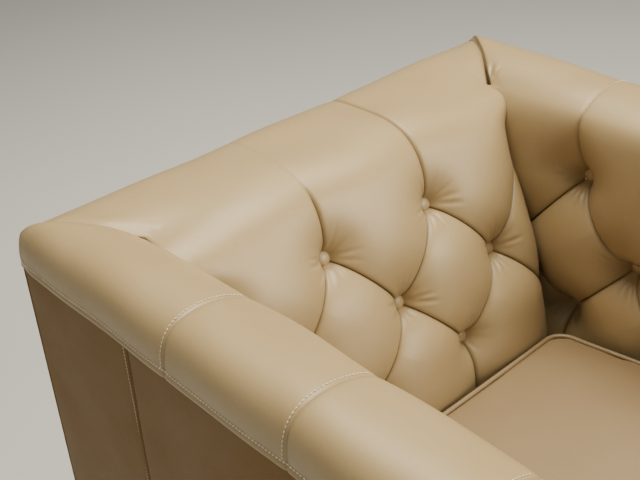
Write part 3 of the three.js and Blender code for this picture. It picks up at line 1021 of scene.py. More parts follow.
def weave_group():
    """A plain weave as a height, from its threads to the metre."""
    tree, start, end = shader_group(
        "Plain Weave", [("Threads", "NodeSocketFloat", 900.0)], [("Height", "NodeSocketFloat")]
    )
    wire = Wiring(tree)
    x, y, z = wire.split(wire.place())
    turn = wire.times(start.outputs["Threads"], math.pi)
    warp = wire.math("SINE", wire.times(wire.plus(x, z), turn))
    weft = wire.math("SINE", wire.times(wire.plus(y, z), turn))
    wire.feed(end.inputs["Height"], wire.times(warp, weft))
    return tree


GROUPS = {}


def group(name):
    """A shader group by name, built the first time it is asked for."""
    makers = {
        "grain": hide_grain_group,
        "colour": hide_colour_group,
        "wood": wood_grain_group,
        "weave": weave_group,
    }
    if name not in GROUPS:
        GROUPS[name] = makers[name]()
    return GROUPS[name]


# ---- Materials ----
def new_material(name, roughness, **sockets):
    material = bpy.data.materials.new(name)
    material.use_nodes = True
    shader = material.node_tree.nodes["Principled BSDF"]
    shader.inputs["Roughness"].default_value = roughness
    for key, value in sockets.items():
        shader.inputs[key.replace("_", " ")].default_value = value
    return material, Wiring(material.node_tree), shader


def use_group(wire, name, **values):
    """A group in a material's tree, with its constant inputs set."""
    made = wire.node("ShaderNodeGroup", {"node_tree": group(name)})
    for key, value in values.items():
        made.inputs[key].default_value = value
    return made


def bump_into(wire, shader, height, distance, strength):
    made = wire.node("ShaderNodeBump", Strength=strength, Distance=distance, Height=height)
    wire.feed(shader.inputs["Normal"], made.outputs["Normal"])


def leather(name, colour, roughness, grain=0.5, finish=1.0):
    """Corrected-grain hide with a soft finish coat."""
    material, wire, shader = new_material(
        name,
        roughness,
        Specular_IOR_Level=0.45 * finish,
        Sheen_Weight=0.03 * finish,
        Sheen_Roughness=0.4,
        Sheen_Tint=(1.0, 0.93, 0.90, 1.0),
        Coat_Weight=0.16 * finish,
        Coat_Roughness=0.30,
    )
    dye = use_group(wire, "colour", Hide=(*colour, 1.0))
    # The crease and pit masks feed the painted shade in the dye.
    for key in ("Crease", "Pit"):
        value = wire.node("ShaderNodeAttribute", {"attribute_name": key.lower()})
        wire.feed(dye.inputs[key], value.outputs["Fac"])
    wire.feed(shader.inputs["Base Color"], dye.outputs["Colour"])
    gloss = wire.spread(dye.outputs["Mottle"], 0.35, 0.65, roughness + 0.05, roughness - 0.04)
    wire.feed(shader.inputs["Roughness"], gloss)
    bump_into(wire, shader, use_group(wire, "grain").outputs["Height"], 0.00016, grain)
    return material


def two_tones(wire, shader, share, dark, pale):
    """Colours a shader between two tones."""
    wire.feed(shader.inputs["Base Color"], wire.blend(share, (*dark, 1.0), (*pale, 1.0)))


def shade(colour, share):
    return tuple(share * c for c in colour)


def thread_material():
    material, wire, shader = new_material("Waxed Thread", 0.55, Sheen_Weight=0.3)
    twist = wire.node(
        "ShaderNodeTexWave",
        {"bands_direction": "DIAGONAL"},
        Vector=wire.place(),
        Scale=900.0,
        Distortion=1.0,
    )
    thread = bpy.context.scene.leather.thread
    two_tones(wire, shader, twist.outputs["Fac"], shade(thread, 0.75), thread)
    bump_into(wire, shader, twist.outputs["Fac"], 0.0002, 0.5)
    return material


def timber(name, dark, pale, roughness, scale=60.0, coat=0.0):
    material, wire, shader = new_material(name, roughness, Coat_Weight=coat, Coat_Roughness=0.2)
    grain = use_group(wire, "wood", Scale=scale)
    height = grain.outputs["Height"]
    two_tones(wire, shader, grain.outputs["Figure"], dark, pale)
    gloss = wire.spread(height, 0.3, 0.7, roughness + 0.1, roughness - 0.05)
    wire.feed(shader.inputs["Roughness"], gloss)
    bump_into(wire, shader, height, 0.0002, 0.3)
    return material


def metal(name, colour, roughness):
    material, wire, shader = new_material(name, roughness, Metallic=1.0)
    haze = wire.noise(180.0, 4.0)
    two_tones(wire, shader, haze, shade(colour, 0.7), colour)
    wire.feed(shader.inputs["Roughness"], wire.spread(haze, 0.3, 0.7, roughness + 0.12, roughness - 0.08))
    bump_into(wire, shader, haze, 0.0001, 0.2)
    return material


def woven(name, colour, threads, roughness=0.85):
    material, wire, shader = new_material(name, roughness, Sheen_Weight=0.2)
    cloth = use_group(wire, "weave", Threads=threads)
    two_tones(wire, shader, wire.noise(14.0, 4.0), shade(colour, 0.6), colour)
    bump_into(wire, shader, cloth.outputs["Height"], 0.0004, 0.6)
    return material


def foam_material():
    material, wire, shader = new_material("Polyether Foam", 0.95, Subsurface_Weight=0.1)
    cells = wire.node("ShaderNodeTexVoronoi", Vector=wire.place(), Scale=900.0)
    two_tones(wire, shader, cells.outputs["Distance"], (0.62, 0.50, 0.28), (0.86, 0.77, 0.52))
    bump_into(wire, shader, cells.outputs["Distance"], 0.0006, 0.7)
    return material


def nylon_material():
    material, wire, shader = new_material("Moulded Nylon", 0.5)
    haze = wire.noise(300.0, 3.0)
    two_tones(wire, shader, haze, (0.015, 0.015, 0.016), (0.05, 0.05, 0.052))
    bump_into(wire, shader, haze, 0.0002, 0.3)
    return material


MATERIALS = {}


def material_for(slot):
    """The material of a record slot, made the first time it is asked for."""
    hides = bpy.context.scene.leather
    makers = {
        "leather": lambda: leather("Hide Tufted", hides.hide, hides.roughness),
        # Painted shade: a darker copy of the hide for the outside panels.
        "leather_outside": lambda: leather(
            "Hide Outside", hides.outside, hides.roughness + 0.15, finish=0.3
        ),
        "leather_seat": lambda: leather("Hide Seat", hides.seat, hides.roughness + 0.02),
        "leather_piping": lambda: leather("Hide Piping", hides.seat, hides.roughness - 0.02),
        "button_leather": lambda: leather("Hide Button", hides.hide, hides.roughness - 0.02),
        "thread": thread_material,
        "beech": lambda: timber("Beech", (0.50, 0.30, 0.15), (0.72, 0.50, 0.29), 0.6),
        "plywood": lambda: timber("Plywood", (0.45, 0.28, 0.14), (0.63, 0.43, 0.25), 0.7, scale=25.0),
        "leg_wood": lambda: timber(
            "Stained Leg", (0.020, 0.009, 0.004), (0.075, 0.033, 0.014), 0.35, scale=80.0, coat=0.4
        ),
        "foam": foam_material,
        "zinc_steel": lambda: metal("Zinc Plate", (0.72, 0.73, 0.75), 0.32),
        "spring_steel": lambda: metal("Spring Steel", (0.30, 0.29, 0.28), 0.42),
        "webbing": lambda: woven("Elastic Webbing", (0.10, 0.09, 0.085), 420.0),
        "black_cloth": lambda: woven("Black Cambric", (0.022, 0.022, 0.024), 900.0),
        "nylon": nylon_material,
    }
    if slot not in MATERIALS:
        MATERIALS[slot] = makers[slot]()
    return MATERIALS[slot]


# ---- Geometry node trees ----
def geometry_tree(name, inputs):
    tree = bpy.data.node_groups.new(name, "GeometryNodeTree")
    tree.interface.new_socket("Geometry", in_out="INPUT", socket_type="NodeSocketGeometry")
    for socket, kind in inputs:
        tree.interface.new_socket(socket, in_out="INPUT", socket_type=kind)
    tree.interface.new_socket("Geometry", in_out="OUTPUT", socket_type="NodeSocketGeometry")
    return tree, Wiring(tree), tree.nodes.new("NodeGroupInput"), tree.nodes.new("NodeGroupOutput")


def facing_rotation(wire, axis, vector, rotation=None, pivot="AUTO"):
    settings = {"axis": axis, "pivot_axis": pivot}
    made = wire.node("FunctionNodeAlignRotationToVector", settings, Vector=vector)
    if rotation is not None:
        wire.feed(made.inputs["Rotation"], rotation)
    return made.outputs["Rotation"]


def stored_vector(wire, name):
    made = wire.node("GeometryNodeInputNamedAttribute", {"data_type": "FLOAT_VECTOR"}, Name=name)
    return made.outputs["Attribute"]


def realised(wire, start, end, points, shape, rotation):
    """Puts a shape on every point, makes it plain geometry and gives it its material."""
    placed = wire.node("GeometryNodeInstanceOnPoints", Points=points, Instance=shape, Rotation=rotation)
    plain = wire.node("GeometryNodeRealizeInstances", Geometry=placed.outputs[0])
    smooth = wire.node("GeometryNodeSetShadeSmooth", Geometry=plain.outputs[0])
    material = start.outputs["Material"]
    dressed = wire.node("GeometryNodeSetMaterial", Geometry=smooth.outputs[0], Material=material)
    wire.feed(end.inputs[0], dressed.outputs[0])


def button_tree():
    """Covered buttons: a domed cap whose rim is drawn under, on every point."""
    tree, wire, start, end = geometry_tree(
        "Covered Buttons",
        [("Diameter", "NodeSocketFloat"), ("Dome", "NodeSocketFloat"), ("Material", "NodeSocketMaterial")],
    )
    radius = wire.times(start.outputs["Diameter"], 0.5)
    ball = wire.node("GeometryNodeMeshUVSphere", Segments=40, Rings=22, Radius=radius)
    x, y, z = wire.split(wire.node("GeometryNodeInputPosition").outputs[0])
    waves = wire.math("SINE", wire.times(wire.math("ARCTAN2", y, x), 9.0))
    pucker = wire.times(wire.times(waves, 0.012), wire.math("LESS_THAN", z, 0.0))
    swell = wire.plus(1.0, pucker)
    domed = wire.times(z, start.outputs["Dome"])
    moved = wire.joined(wire.times(x, swell), wire.times(y, swell), domed)
    shaped = wire.node("GeometryNodeSetPosition", Geometry=ball.outputs["Mesh"], Position=moved)
    rotation = facing_rotation(wire, "Z", stored_vector(wire, "facing"))
    realised(wire, start, end, start.outputs["Geometry"], shaped.outputs[0], rotation)
    return tree


def stitch_tree():
    """Stitches along a line: plump little lozenges, end to end with a gap."""
    tree, wire, start, end = geometry_tree(
        "Top Stitching",
        [
            ("Pitch", "NodeSocketFloat"),
            ("Length", "NodeSocketFloat"),
            ("Thread", "NodeSocketFloat"),
            ("Material", "NodeSocketMaterial"),
        ],
    )
    line = wire.node("GeometryNodeMeshToCurve", Mesh=start.outputs["Geometry"])
    spaced = wire.node("GeometryNodeResampleCurve", {"mode": "LENGTH"}, Curve=line.outputs[0])
    wire.feed(spaced.inputs["Length"], start.outputs["Pitch"])
    bead = wire.node("GeometryNodeMeshUVSphere", Segments=8, Rings=6, Radius=0.5)
    thread = start.outputs["Thread"]
    size = wire.joined(start.outputs["Length"], thread, thread)
    shaped = wire.node("GeometryNodeTransform", Geometry=bead.outputs["Mesh"], Scale=size)
    along = facing_rotation(wire, "X", wire.node("GeometryNodeInputTangent").outputs[0])
    rotation = facing_rotation(wire, "Z", stored_vector(wire, "facing"), along, pivot="X")
    realised(wire, start, end, spaced.outputs[0], shaped.outputs[0], rotation)
    return tree


TREES = {}


def geometry_piece(name, host, maker, values, slot, body):
    """Runs a geometry tree on a host mesh and keeps the result as a plain mesh."""
    if maker not in TREES:
        TREES[maker] = maker()
    tree = TREES[maker]
    modifier = host.modifiers.new(name, "NODES")
    modifier.node_group = tree
    values = dict(values, Material=material_for(slot))
    for item in tree.interface.items_tree:
        if item.in_out == "INPUT" and item.name in values:
            modifier[item.identifier] = values[item.name]
    mesh = evaluated(host)
    bpy.data.objects.remove(host)
    if not mesh.polygons:
        raise RuntimeError(f"{name} came out empty")
    mesh.name = name
    piece = added(name, mesh)
    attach(piece, body)
    return piece


def host_mesh(name, points, facing, edges=()):
    """Points, and lines between them, that a geometry tree runs on."""
    mesh = bpy.data.meshes.new(name)
    mesh.from_pydata((np.asarray(points) * MM).tolist(), [tuple(e) for e in edges], [])
    attribute = mesh.attributes.new("facing", "FLOAT_VECTOR", "POINT")
    attribute.data.foreach_set("vector", np.asarray(facing, np.float32).ravel())
    return added(name, mesh)


def stitched(name, lines, weight=1.0):
    """Top-stitching along several lines, each a pair of points and the way they face."""
    stitch = bpy.context.scene.stitch
    points, facing, edges = [], [], []
    for line, normals in lines:
        first = sum(len(p) for p in points)
        points.append(line)
        facing.append(normals)
        edges += [(first + k, first + k + 1) for k in range(len(line) - 1)]
    host = host_mesh(name, np.vstack(points), np.vstack(facing), edges)
    sizes = {"Pitch": stitch.pitch, "Length": stitch.length, "Thread": weight * stitch.thread}
    values = {key: size * MM for key, size in sizes.items()}
    return geometry_piece(name, host, stitch_tree, values, "thread", FRAME_BODY)


# ---- Flat panels ----
def graded(low, high, step, seams=(), fine=0.8, reach=7.0):
    """Places from low to high, closer together at both ends and around each seam."""
    places = [low]
    marks = [low, high, *seams]
    while places[-1] < high - 0.3 * step:
        gap = min(abs(places[-1] + fine - m) for m in marks)
        share = min(1.0, max(0.0, (gap - reach) / (4 * reach)))
        places.append(places[-1] + fine + (step - fine) * share)
    places[-1] = high
    count = len(places) - 1
    extra = -count % 4
    for _ in range(extra):
        widest = int(np.argmax(np.diff(places)))
        places.insert(widest + 1, 0.5 * (places[widest] + places[widest + 1]))
    return np.array(places)


def panel_piece(name, u_range, v_range, depth, place, seams=(), bulge=2.5, turned=False):
    """A padded flat panel with rounded edges and sunk seams. Place turns (u, v, height) to points."""
    u = graded(*u_range, 9.0, seams)
    v = graded(*v_range, 9.0)
    uu, vv = np.meshgrid(u, v)
    edge = np.minimum.reduce([uu - u[0], u[-1] - uu, vv - v[0], v[-1] - vv])
    radius = min(4.0, 0.7 * depth)
    rounding = radius - np.sqrt(np.maximum(radius**2 - np.maximum(radius - edge, 0) ** 2, 0))
    middle = np.sin(math.pi * (uu - u[0]) / np.ptp(u)) * np.sin(math.pi * (vv - v[0]) / np.ptp(v))
    height = depth - rounding + bulge * np.sqrt(np.maximum(middle, 0))
    height += 0.5 * np.sin(0.019 * uu + 0.4) * np.sin(0.027 * vv + 1.0) * smoothstep(edge / 30)
    # The crease mask at each seam darkens the hide's colour there as painted shade.
    crease = np.zeros_like(uu)
    for seam in seams:
        sunk = np.exp(-np.abs(uu - seam) / 1.6)
        height -= 1.8 * sunk + 0.8 * np.exp(-(((uu - seam) / 9.0) ** 2))
        crease = np.maximum(crease, sunk)
    front = place(uu, vv, height)
    back = place(uu[::4, ::4], vv[::4, ::4], np.zeros_like(uu[::4, ::4]))
    piece = shell_piece(name, front, back, flip=turned)
    point_values(piece, "crease", crease.ravel())
    return piece


# ---- Operators ----
class PieceOperator:
    """What every operator here shares."""

    bl_options = {"REGISTER", "UNDO"}

    def execute(self, context):
        self.build(context)
        return {"FINISHED"}


class ARMCHAIR_OT_back_cover(PieceOperator, bpy.types.Operator):
    """Makes the tufted inside back and the foam under it"""

    bl_idname = "armchair.back_cover"
    bl_label = "Tufted Back"

    def build(self, context):
        fine = context.scene.tuft.fineness
        cover = back_cover()
        columns = back_columns(fine)
        lengths = cover_lengths(cover, fine, 40, 120)
        piece = cover_piece("tufted_back_cover", cover, columns, lengths)
        finished(piece, FRAME_BODY, "leather", "inside_back_cover")
        lengths = cover_lengths(cover, 8, 8, 24)
        columns = back_columns(8)
        add_foam("tufted_back_foam", "back_foam", cover, columns, lengths, deep=60.0, shallow=27.0)


class ARMCHAIR_OT_arm_covers(PieceOperator, bpy.types.Operator):
    """Makes both tufted arm covers and the foam under them"""

    bl_idname = "armchair.arm_covers"
    bl_label = "Tufted Arms"

    def build(self, context):
        fine = context.scene.tuft.fineness
        for hand in SIDES:
            cover = arm_cover(hand)
            lengths = cover_lengths(cover, fine, 28, 92, hem=20)
            piece = cover_piece(f"{hand}_tufted_arm_cover", cover, arm_columns(cover, fine), lengths)
            finished(piece, FRAME_BODY, "leather", f"{hand}_arm_cover")
            name, node = f"{hand}_tufted_arm_foam", f"{hand}_arm_foam"
            columns, lengths = arm_columns(cover, 8), cover_lengths(cover, 8, 8, 24)
            add_foam(name, node, cover, columns, lengths, deep=79.0, shallow=18.0)


def add_foam(name, node, cover, columns, lengths, deep, shallow):
    """The foam under a cover, drilled where the buttons pull in. Deep and shallow are how far its
    back lies under the buttoned part and under the crown."""
    under, skin, least = 11.0, 6.0, 3.0
    column, w = np.meshgrid(columns, lengths[:-4])
    front = cover.surface(column, w, under=under)[0]
    coarse_column, coarse_w = column[::4, ::4], w[::4, ::4]
    share = cover.top_share(coarse_w)
    level = deep * (1 - share) + (shallow + skin) * share
    u = cover.across(coarse_column, coarse_w)
    section = cover.profile.at(coarse_w)
    sunk = cover.place(u, section) - cover.surface(coarse_column, coarse_w, under=under)[0]
    level = np.maximum(level, np.linalg.norm(sunk, axis=-1) + least)
    back = cover.place(u, section - cover.profile.normal(coarse_w) * level[..., None])
    piece = shell_piece(name, front, back, flip=cover.turned)
    finished(piece, FRAME_BODY, "foam", node)


class ARMCHAIR_OT_buttons(PieceOperator, bpy.types.Operator):
    """Makes the covered buttons of the back and both arms"""

    bl_idname = "armchair.buttons"
    bl_label = "Buttons"

    def build(self, context):
        tuft = context.scene.tuft
        covers = {"back": back_cover(), **{f"{hand}_arm": arm_cover(hand) for hand in SIDES}}
        for name, cover in covers.items():
            places, facing = [], []
            for column, row in cover.buttons:
                w = cover.rows[row]
                u, _ = cover.button_spot(column, row)
                out = cover.profile.normal(np.array(w))
                base = cover.profile.at(np.array(w)) - out * (cover.depth + 0.5)
                places.append(cover.place(np.array(u), base))
                ahead = cover.place(np.array(u), base + out)
                facing.append(ahead - places[-1])
            host = host_mesh(f"{name}_button_places", np.array(places), np.array(facing))
            values = {"Diameter": tuft.button * MM, "Dome": 0.52}
            geometry_piece(f"{name}_buttons", host, button_tree, values, "button_leather", FRAME_BODY)


class ARMCHAIR_OT_stitching(PieceOperator, bpy.types.Operator):
    """Makes the top-stitching along the seams of the arms and outside panels"""

    bl_idname = "armchair.stitching"
    bl_label = "Top-Stitching"

    def build(self, context):
        for hand in SIDES:
            cover = arm_cover(hand)
            stitched(f"{hand}_arm_stitching", [self.hem_line(cover)], weight=1.25)
            lines = [self.cross_line(cover, column) for column in (0, -2, -4)]
            stitched(f"{hand}_cross_stitching", lines, weight=0.75)

    def hem_line(self, cover):
        column = np.linspace((FRONT_Y - cover.first_y) / cover.half + 0.05, 2.95, 220)
        w = np.full_like(column, cover.profile.length - STITCH_LIFT)
        return self.raised(cover, column, w)

    def cross_line(self, cover, column):
        start = cover.profile.nearest((SEAT_HALF + 20, ARM_TOP))
        w = np.linspace(start, cover.profile.length - STITCH_LIFT, 90)
        return self.raised(cover, np.full_like(w, column + 0.045), w)

    def raised(self, cover, column, w):
        normals = cover.facing(column, w)
        return cover.surface(column, w)[0] + 0.75 * normals, normals


class ARMCHAIR_OT_outside_panels(PieceOperator, bpy.types.Operator):
    """Makes the flat panels round the outside and their stitched seams"""

    bl_idname = "armchair.outside_panels"
    bl_label = "Outside Panels"

    SEAM_Y = 182.0  # vertical seam on each outside arm

    def build(self, context):
        low = corners("outside_back_panel")[0]
        back = panel_piece(
            "outside_back_leather",
            (-OUT_X + 0.4, OUT_X - 0.4),
            (SKIRT_Z, SEAM_Z - 0.6),
            OUT_Y - low[1],
            lambda u, v, h: np.stack([u, low[1] + h, v], axis=-1),
            seams=(0.0,),
            turned=True,
        )
        finished(back, FRAME_BODY, "leather_outside", "outside_back_panel")
        self.front_border()
        for hand, side in SIDES.items():
            self.outside_arm(hand, side)
            self.arm_front(hand, side)

    def outside_arm(self, hand, side):
        inner = PANEL_LOW[0]
        piece = panel_piece(
            f"{hand}_outside_arm_leather",
            (FRONT_Y, OUT_Y - 6.8),
            (SKIRT_Z, SEAM_Z - 0.6),
            OUT_X - inner,
            lambda u, v, h: np.stack([side * (inner + h), u, v], axis=-1),
            seams=(self.SEAM_Y,),
            turned=side < 0,
        )
        finished(piece, FRAME_BODY, "leather_outside", f"{hand}_outside_arm_panel")
        z = np.linspace(SEAM_Z - 14, SKIRT_Z + 6, 120)
        line = np.column_stack(np.broadcast_arrays(side * (OUT_X + 1.0), self.SEAM_Y + 5.0, z))
        facing = np.tile([side, 0.0, 0.0], (len(z), 1))
        stitched(f"{hand}_outside_stitching", [(line, facing)], weight=0.65)

    def front_border(self):
        low, high = corners("front_border")
        piece = panel_piece(
            "front_border_leather",
            (low[0], high[0]),
            (low[2], high[2]),
            high[1] - low[1],
            lambda u, v, h: np.stack([u, high[1] - h, v], axis=-1),
        )
        finished(piece, FRAME_BODY, "leather_outside", "front_border")

    def arm_front(self, hand, side):
        """The facing of an arm, cut to the arm's own section."""
        low, high = corners("left_arm_front_panel")
        section = arm_profile().line
        section = section[section[:, 1] > SEAM_Z - 30]
        left = [(SEAT_HALF, SKIRT_Z), (SEAT_HALF, SEAM_Z - 60)]
        right = [(OUT_X, SEAM_Z - 60), (OUT_X, SKIRT_Z)]
        ring = np.array(left + [tuple(p) for p in section[::6]] + right)
        piece = lofted_facing(f"{hand}_arm_front_leather", ring, high[1], high[1] - low[1], side)
        finished(piece, FRAME_BODY, "leather_outside", f"{hand}_arm_front_panel")


def lofted_facing(name, ring, y, depth, side):
    """A flat closed piece with the outline of a ring, rounded at its front edge."""
    centre = 0.5 * (ring.min(axis=0) + ring.max(axis=0))
    steps = ((0.0, 0.0), (0.55, 0.0), (0.85, 0.8), (1.0, 2.2), (1.25, 30.0))
    spokes = ring - centre
    reach = np.linalg.norm(spokes, axis=1)[:, None]
    layers = [(centre + spokes * (1 - inset / reach), share) for share, inset in steps]
    layers += [(centre[None], 0.0), (centre[None], 1.35)]
    points = [
        np.stack([side * flat[:, 0], np.full(len(flat), y - depth * share), flat[:, 1]], axis=1)
        for flat, share in layers
    ]
    faces = stacked_faces(len(steps), len(ring))
    if side < 0:
        faces = [f[::-1] for f in faces]
    return mesh_object(name, np.vstack(points), faces)


class ARMCHAIR_OT_cushion(PieceOperator, bpy.types.Operator):
    """Makes the loose seat cushion, swollen by a cloth simulation, and its piping"""

    bl_idname = "armchair.cushion"
    bl_label = "Seat Cushion"

    def build(self, context):
        settings = context.scene.cushion
        cover = cushion_block("seat_cushion_leather")
        cover = inflated(cover, settings)
        finished(cover, CUSHION_BODY, "leather_seat", "seat_cushion_cover")
        core = cushion_block("seat_cushion_core", inset=8.0)
        finished(core, CUSHION_BODY, "foam", "seat_cushion_foam")
        for level, z in (("top", CUSHION_HIGH[2]), ("bottom", CUSHION_LOW[2])):
            piece = piping(f"seat_{level}_piping_welt", z, settings.piping)
            finished(piece, CUSHION_BODY, "leather_piping", f"cushion_{level}_piping")


CUSHION_TAPER = 0.062  # how much narrower the cushion is at the back, as a share


def cushion_plan(inset=0.0, count=28):
    """The cushion's outline as points (x, y): sides that pull in a little between round corners."""
    radius = 30.0 - inset
    low, high = CUSHION_LOW + inset, CUSHION_HIGH - inset
    centres = [
        (high[0] - radius, high[1] - radius),
        (low[0] + radius, high[1] - radius),
        (low[0] + radius, low[1] + radius),
        (high[0] - radius, low[1] + radius),
    ]
    points = []
    for k, (cx, cy) in enumerate(centres):
        for a in np.linspace(90 * k, 90 * k + 90, 10):
            turn = math.radians(a)
            points.append((cx + radius * math.cos(turn), cy + radius * math.sin(turn)))
        nx, ny = centres[(k + 1) % 4]
        side = math.radians(90 * k + 90)
        for t in np.linspace(0, 1, count + 2)[1:-1]:
            pull = 3.0 * math.sin(math.pi * t)
            x = cx + (nx - cx) * t + (radius - pull) * math.cos(side)
            y = cy + (ny - cy) * t + (radius - pull) * math.sin(side)
            points.append((x, y))
    points = np.array(points)
    points[:, 0] *= 1.0 - CUSHION_TAPER * smoothstep((points[:, 1] + 130.0) / 220.0)
    return points


def cushion_rise(outline):
    """How far each point of the upper edge lies above the corners: most half way along the sides."""
    share = (outline[:, 1] - CUSHION_LOW[1]) / (CUSHION_HIGH[1] - CUSHION_LOW[1])
    along_side = smoothstep((np.abs(outline[:, 0]) - 0.5 * CUSHION_HIGH[0]) / (0.5 * CUSHION_HIGH[0]))
    return 6.0 + 11.0 * np.sin(math.pi * np.clip(share, 0.0, 1.0)) * along_side


def cushion_block(name, inset=0.0):
    """The cushion before it swells: boxing between two gently crowned faces."""
    outline = cushion_plan(inset)
    centre = 0.5 * (CUSHION_LOW + CUSHION_HIGH)[:2]
    low, high = CUSHION_LOW[2] + inset, CUSHION_HIGH[2] - inset
    sag, crown = 2.0, 19.0
    shares = [1.0 - 0.1 * k for k in range(1, 10)]
    rings = [(share, low + sag * (1 - share**2)) for share in reversed(shares)]
    rings += [(1.0, z) for z in np.linspace(low, high, 14)]
    rings += [(share, high + crown * (1 - share**4)) for share in shares]
    rise = cushion_rise(outline)
    points = []
    for shrink, z in rings:
        level = z + rise * shrink**2 * np.clip((z - low) / (high - low), 0.0, 1.0)
        points.append(np.column_stack([centre + (outline - centre) * shrink, level]))
    points += [[[*centre, low + sag]], [[*centre, high + crown]]]
    return mesh_object(name, np.vstack(points), stacked_faces(len(rings), len(outline)))


def applied(piece):
    """Applies what is on a piece, and leaves it a plain mesh."""
    mesh = evaluated(piece)
    piece.modifiers.clear()
    piece.data = mesh
    mesh.polygons.foreach_set("use_smooth", [True] * len(mesh.polygons))
    return piece


def positions(mesh):
    values = np.zeros(len(mesh.vertices) * 3, np.float32)
    mesh.vertices.foreach_get("co", values)
    return values.reshape(-1, 3)


CLOTH_FRAMES = 20
HELD_BAND = 0.02  # metres above or below an edge where points are looked at
HELD_REACH = 0.012  # metres from the seam within which a point is held


def inflated(piece, settings):
    """Blows the piece up as cloth, with its seams held, and caps how far it may swell."""
    remesh = piece.modifiers.new("Remesh", "REMESH")
    remesh.mode = "VOXEL"
    remesh.voxel_size = settings.voxel * MM
    applied(piece)
    rest = positions(piece.data)
    held = piece.vertex_groups.new(name="held")
    outline = cushion_plan()
    for z, lift in ((CUSHION_LOW[2] * MM, 0.0), (CUSHION_HIGH[2] * MM, cushion_rise(outline) * MM)):
        edge = np.column_stack([outline * MM, np.broadcast_to(z + lift, len(outline))])
        for index in np.where(np.abs(rest[:, 2] - z) < HELD_BAND)[0]:
            if np.min(np.linalg.norm(edge - rest[index], axis=1)) < HELD_REACH:
                held.add([int(index)], 1.0, "REPLACE")
    cloth = piece.modifiers.new("Cloth", "CLOTH").settings
    cloth.use_pressure = True
    cloth.uniform_pressure_force = settings.pressure
    cloth.effector_weights.gravity = 0.0
    cloth.vertex_group_mass = "held"
    cloth.quality = 5
    scene = bpy.context.scene
    for step in range(1, CLOTH_FRAMES + 1):
        scene.frame_set(step)
    applied(piece)
    swollen = positions(piece.data)
    moved = swollen - rest
    size = np.linalg.norm(moved, axis=1)[:, None]
    cap = settings.crown * MM
    eased = cap * np.tanh(size / cap) / np.maximum(size, 1e-9)
    kept = rest + moved * eased
    kept[:, 2] = np.maximum(kept[:, 2], (CUSHION_LOW[2] - 1.5) * MM)
    piece.data.vertices.foreach_set("co", kept.astype(np.float32).ravel())
    scene.frame_set(1)
    finer = piece.modifiers.new("Subdivision", "SUBSURF")
    finer.levels = finer.render_levels = 1
    return applied(piece)


def piping(name, z, diameter):
    """A leather-covered cord sewn along an edge of the cushion."""
    outline = cushion_plan(inset=-0.5)
    rise = cushion_rise(outline) * (z > CUSHION_LOW[2] + 1)
    count, sides = len(outline), 12
    outward = outline - np.roll(outline, 1, axis=0)
    outward = outward + np.roll(outward, -1, axis=0)
    outward = np.column_stack([outward[:, 1], -outward[:, 0]])
    outward /= np.linalg.norm(outward, axis=1)[:, None]
    points, faces = [], []
    for k in range(count):
        here, there = k * sides, ((k + 1) % count) * sides
        for s in range(sides):
            turn, after = 2 * math.pi * s / sides, (s + 1) % sides
            reach = 0.5 * diameter * math.cos(turn)
            level = 0.5 * diameter * math.sin(turn)
            points.append((*(outline[k] + outward[k] * reach), z + rise[k] + level))
            faces.append((here + s, there + s, there + after, here + after))
    return mesh_object(name, points, faces)


class ARMCHAIR_OT_frame_finish(PieceOperator, bpy.types.Operator):
    """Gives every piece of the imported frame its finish"""

    bl_idname = "armchair.frame_finish"
    bl_label = "Frame Finishes"

    def build(self, context):
        slots = {s["node"]: s["material_slot"] for s in frame["record"]["subparts"]}
        for name, node in frame["nodes"].items():
            node.data.materials.clear()
            node.data.materials.append(material_for(slots[name]))


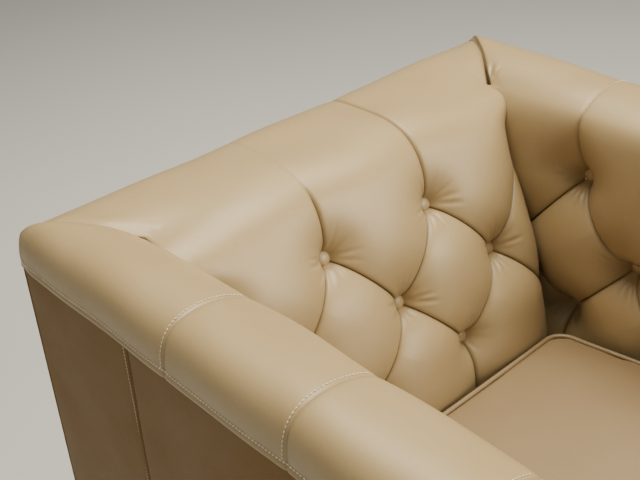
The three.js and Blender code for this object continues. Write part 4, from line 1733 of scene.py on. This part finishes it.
class ARMCHAIR_OT_stage(PieceOperator, bpy.types.Operator):
    """Makes the floor, the lights and the camera"""

    bl_idname = "armchair.stage"
    bl_label = "Stage"

    FLOOR_REACH = 6000.0
    SKY = (0.84, 0.94, 1.0, 1.0)
    AIM = (0.0, 0.1, 0.6)  # where every softbox points
    SOFTBOXES = (  # name, place, size, share of the key power, colour
        ("Key Softbox", (1.55, -3.0, 2.1), 2.3, 0.82, (1.0, 0.93, 0.74)),
        ("Top Softbox", (0.38, 0.25, 3.2), 2.0, 0.86, (1.0, 0.94, 0.76)),
        ("Side Softbox", (-2.6, -0.4, 2.3), 1.4, 0.075, (1.0, 0.93, 0.76)),
    )
    LENS = 58.74
    CAMERA = (-0.8825, -0.6904, 1.4585)
    YAW = 49.644
    DOWN = 31.734
    ROLL = -3.598

    def build(self, context):
        self.floor(context)
        self.lights(context)
        self.camera(context)

    def floor(self, context):
        settings = context.scene.stage
        reach = self.FLOOR_REACH
        points = [(-reach, -reach, 0), (reach, -reach, 0), (reach, reach, 0), (-reach, reach, 0)]
        floor = mesh_object("floor", points, [(0, 1, 2, 3)])
        material, wire, shader = new_material("Pale Floor", 0.7)
        two_tones(wire, shader, wire.noise(1.5, 6.0), shade(settings.floor, 0.93), settings.floor)
        floor.data.materials.append(material)

    def lights(self, context):
        settings = context.scene.stage
        world = bpy.data.worlds.new("Room")
        context.scene.world = world
        world.use_nodes = True
        sky = world.node_tree.nodes["Background"]
        sky.inputs["Color"].default_value = self.SKY
        sky.inputs["Strength"].default_value = settings.ambient
        for name, place, size, share, colour in self.SOFTBOXES:
            self.softbox(name, place, size, share * settings.key, colour)

    def softbox(self, name, place, size, power, colour):
        light = bpy.data.lights.new(name, "AREA")
        light.energy = power
        light.size = size
        light.color = colour
        lamp = added(name, light)
        lamp.location = place
        aim = Vector(self.AIM) - Vector(place)
        lamp.rotation_euler = aim.to_track_quat("-Z", "Y").to_euler()

    def camera(self, context):
        lens = bpy.data.cameras.new("Camera")
        lens.lens = self.LENS
        lens.sensor_width = 36.0
        yaw, down, roll = (math.radians(a) for a in (self.YAW, self.DOWN, self.ROLL))
        level = Vector((math.sin(yaw), -math.cos(yaw), 0.0))
        ahead = Vector((math.cos(yaw) * math.cos(down), math.sin(yaw) * math.cos(down), -math.sin(down)))
        upright = level.cross(ahead)
        right = math.cos(roll) * level + math.sin(roll) * upright
        up = math.cos(roll) * upright - math.sin(roll) * level
        turned = Matrix((right, up, -ahead)).transposed().to_4x4()
        camera = added("Camera", lens)
        camera.matrix_world = Matrix.Translation(self.CAMERA) @ turned
        context.scene.camera = camera


STEPS = (
    ARMCHAIR_OT_stage,
    ARMCHAIR_OT_frame_finish,
    ARMCHAIR_OT_back_cover,
    ARMCHAIR_OT_arm_covers,
    ARMCHAIR_OT_buttons,
    ARMCHAIR_OT_outside_panels,
    ARMCHAIR_OT_stitching,
    ARMCHAIR_OT_cushion,
)


class ARMCHAIR_PT_sidebar(bpy.types.Panel):
    """Lists the steps of the upholstery"""

    bl_idname = "ARMCHAIR_PT_sidebar"
    bl_label = "Tufted Armchair"
    bl_space_type = "VIEW_3D"
    bl_region_type = "UI"
    bl_category = "Armchair"

    def draw(self, context):
        for name in SETTINGS:
            box = self.layout.box()
            group_settings = getattr(context.scene, name)
            for key in group_settings.__annotations__:
                box.prop(group_settings, key)
        for step in STEPS:
            self.layout.operator(step.bl_idname)


SETTINGS = {
    "tuft": TuftSettings,
    "leather": LeatherSettings,
    "stitch": StitchSettings,
    "cushion": CushionSettings,
    "stage": StageSettings,
}


def register():
    for made in (*SETTINGS.values(), *STEPS, ARMCHAIR_PT_sidebar):
        bpy.utils.register_class(made)
    for name, kind in SETTINGS.items():
        setattr(bpy.types.Scene, name, bpy.props.PointerProperty(type=kind))


def unregister():
    for name in SETTINGS:
        delattr(bpy.types.Scene, name)
    for made in reversed((*SETTINGS.values(), *STEPS, ARMCHAIR_PT_sidebar)):
        bpy.utils.unregister_class(made)


def main():
    register()
    for step in STEPS:
        group_name, operator = step.bl_idname.split(".")
        getattr(getattr(bpy.ops, group_name), operator)()


if __name__ == "__main__":
    main()
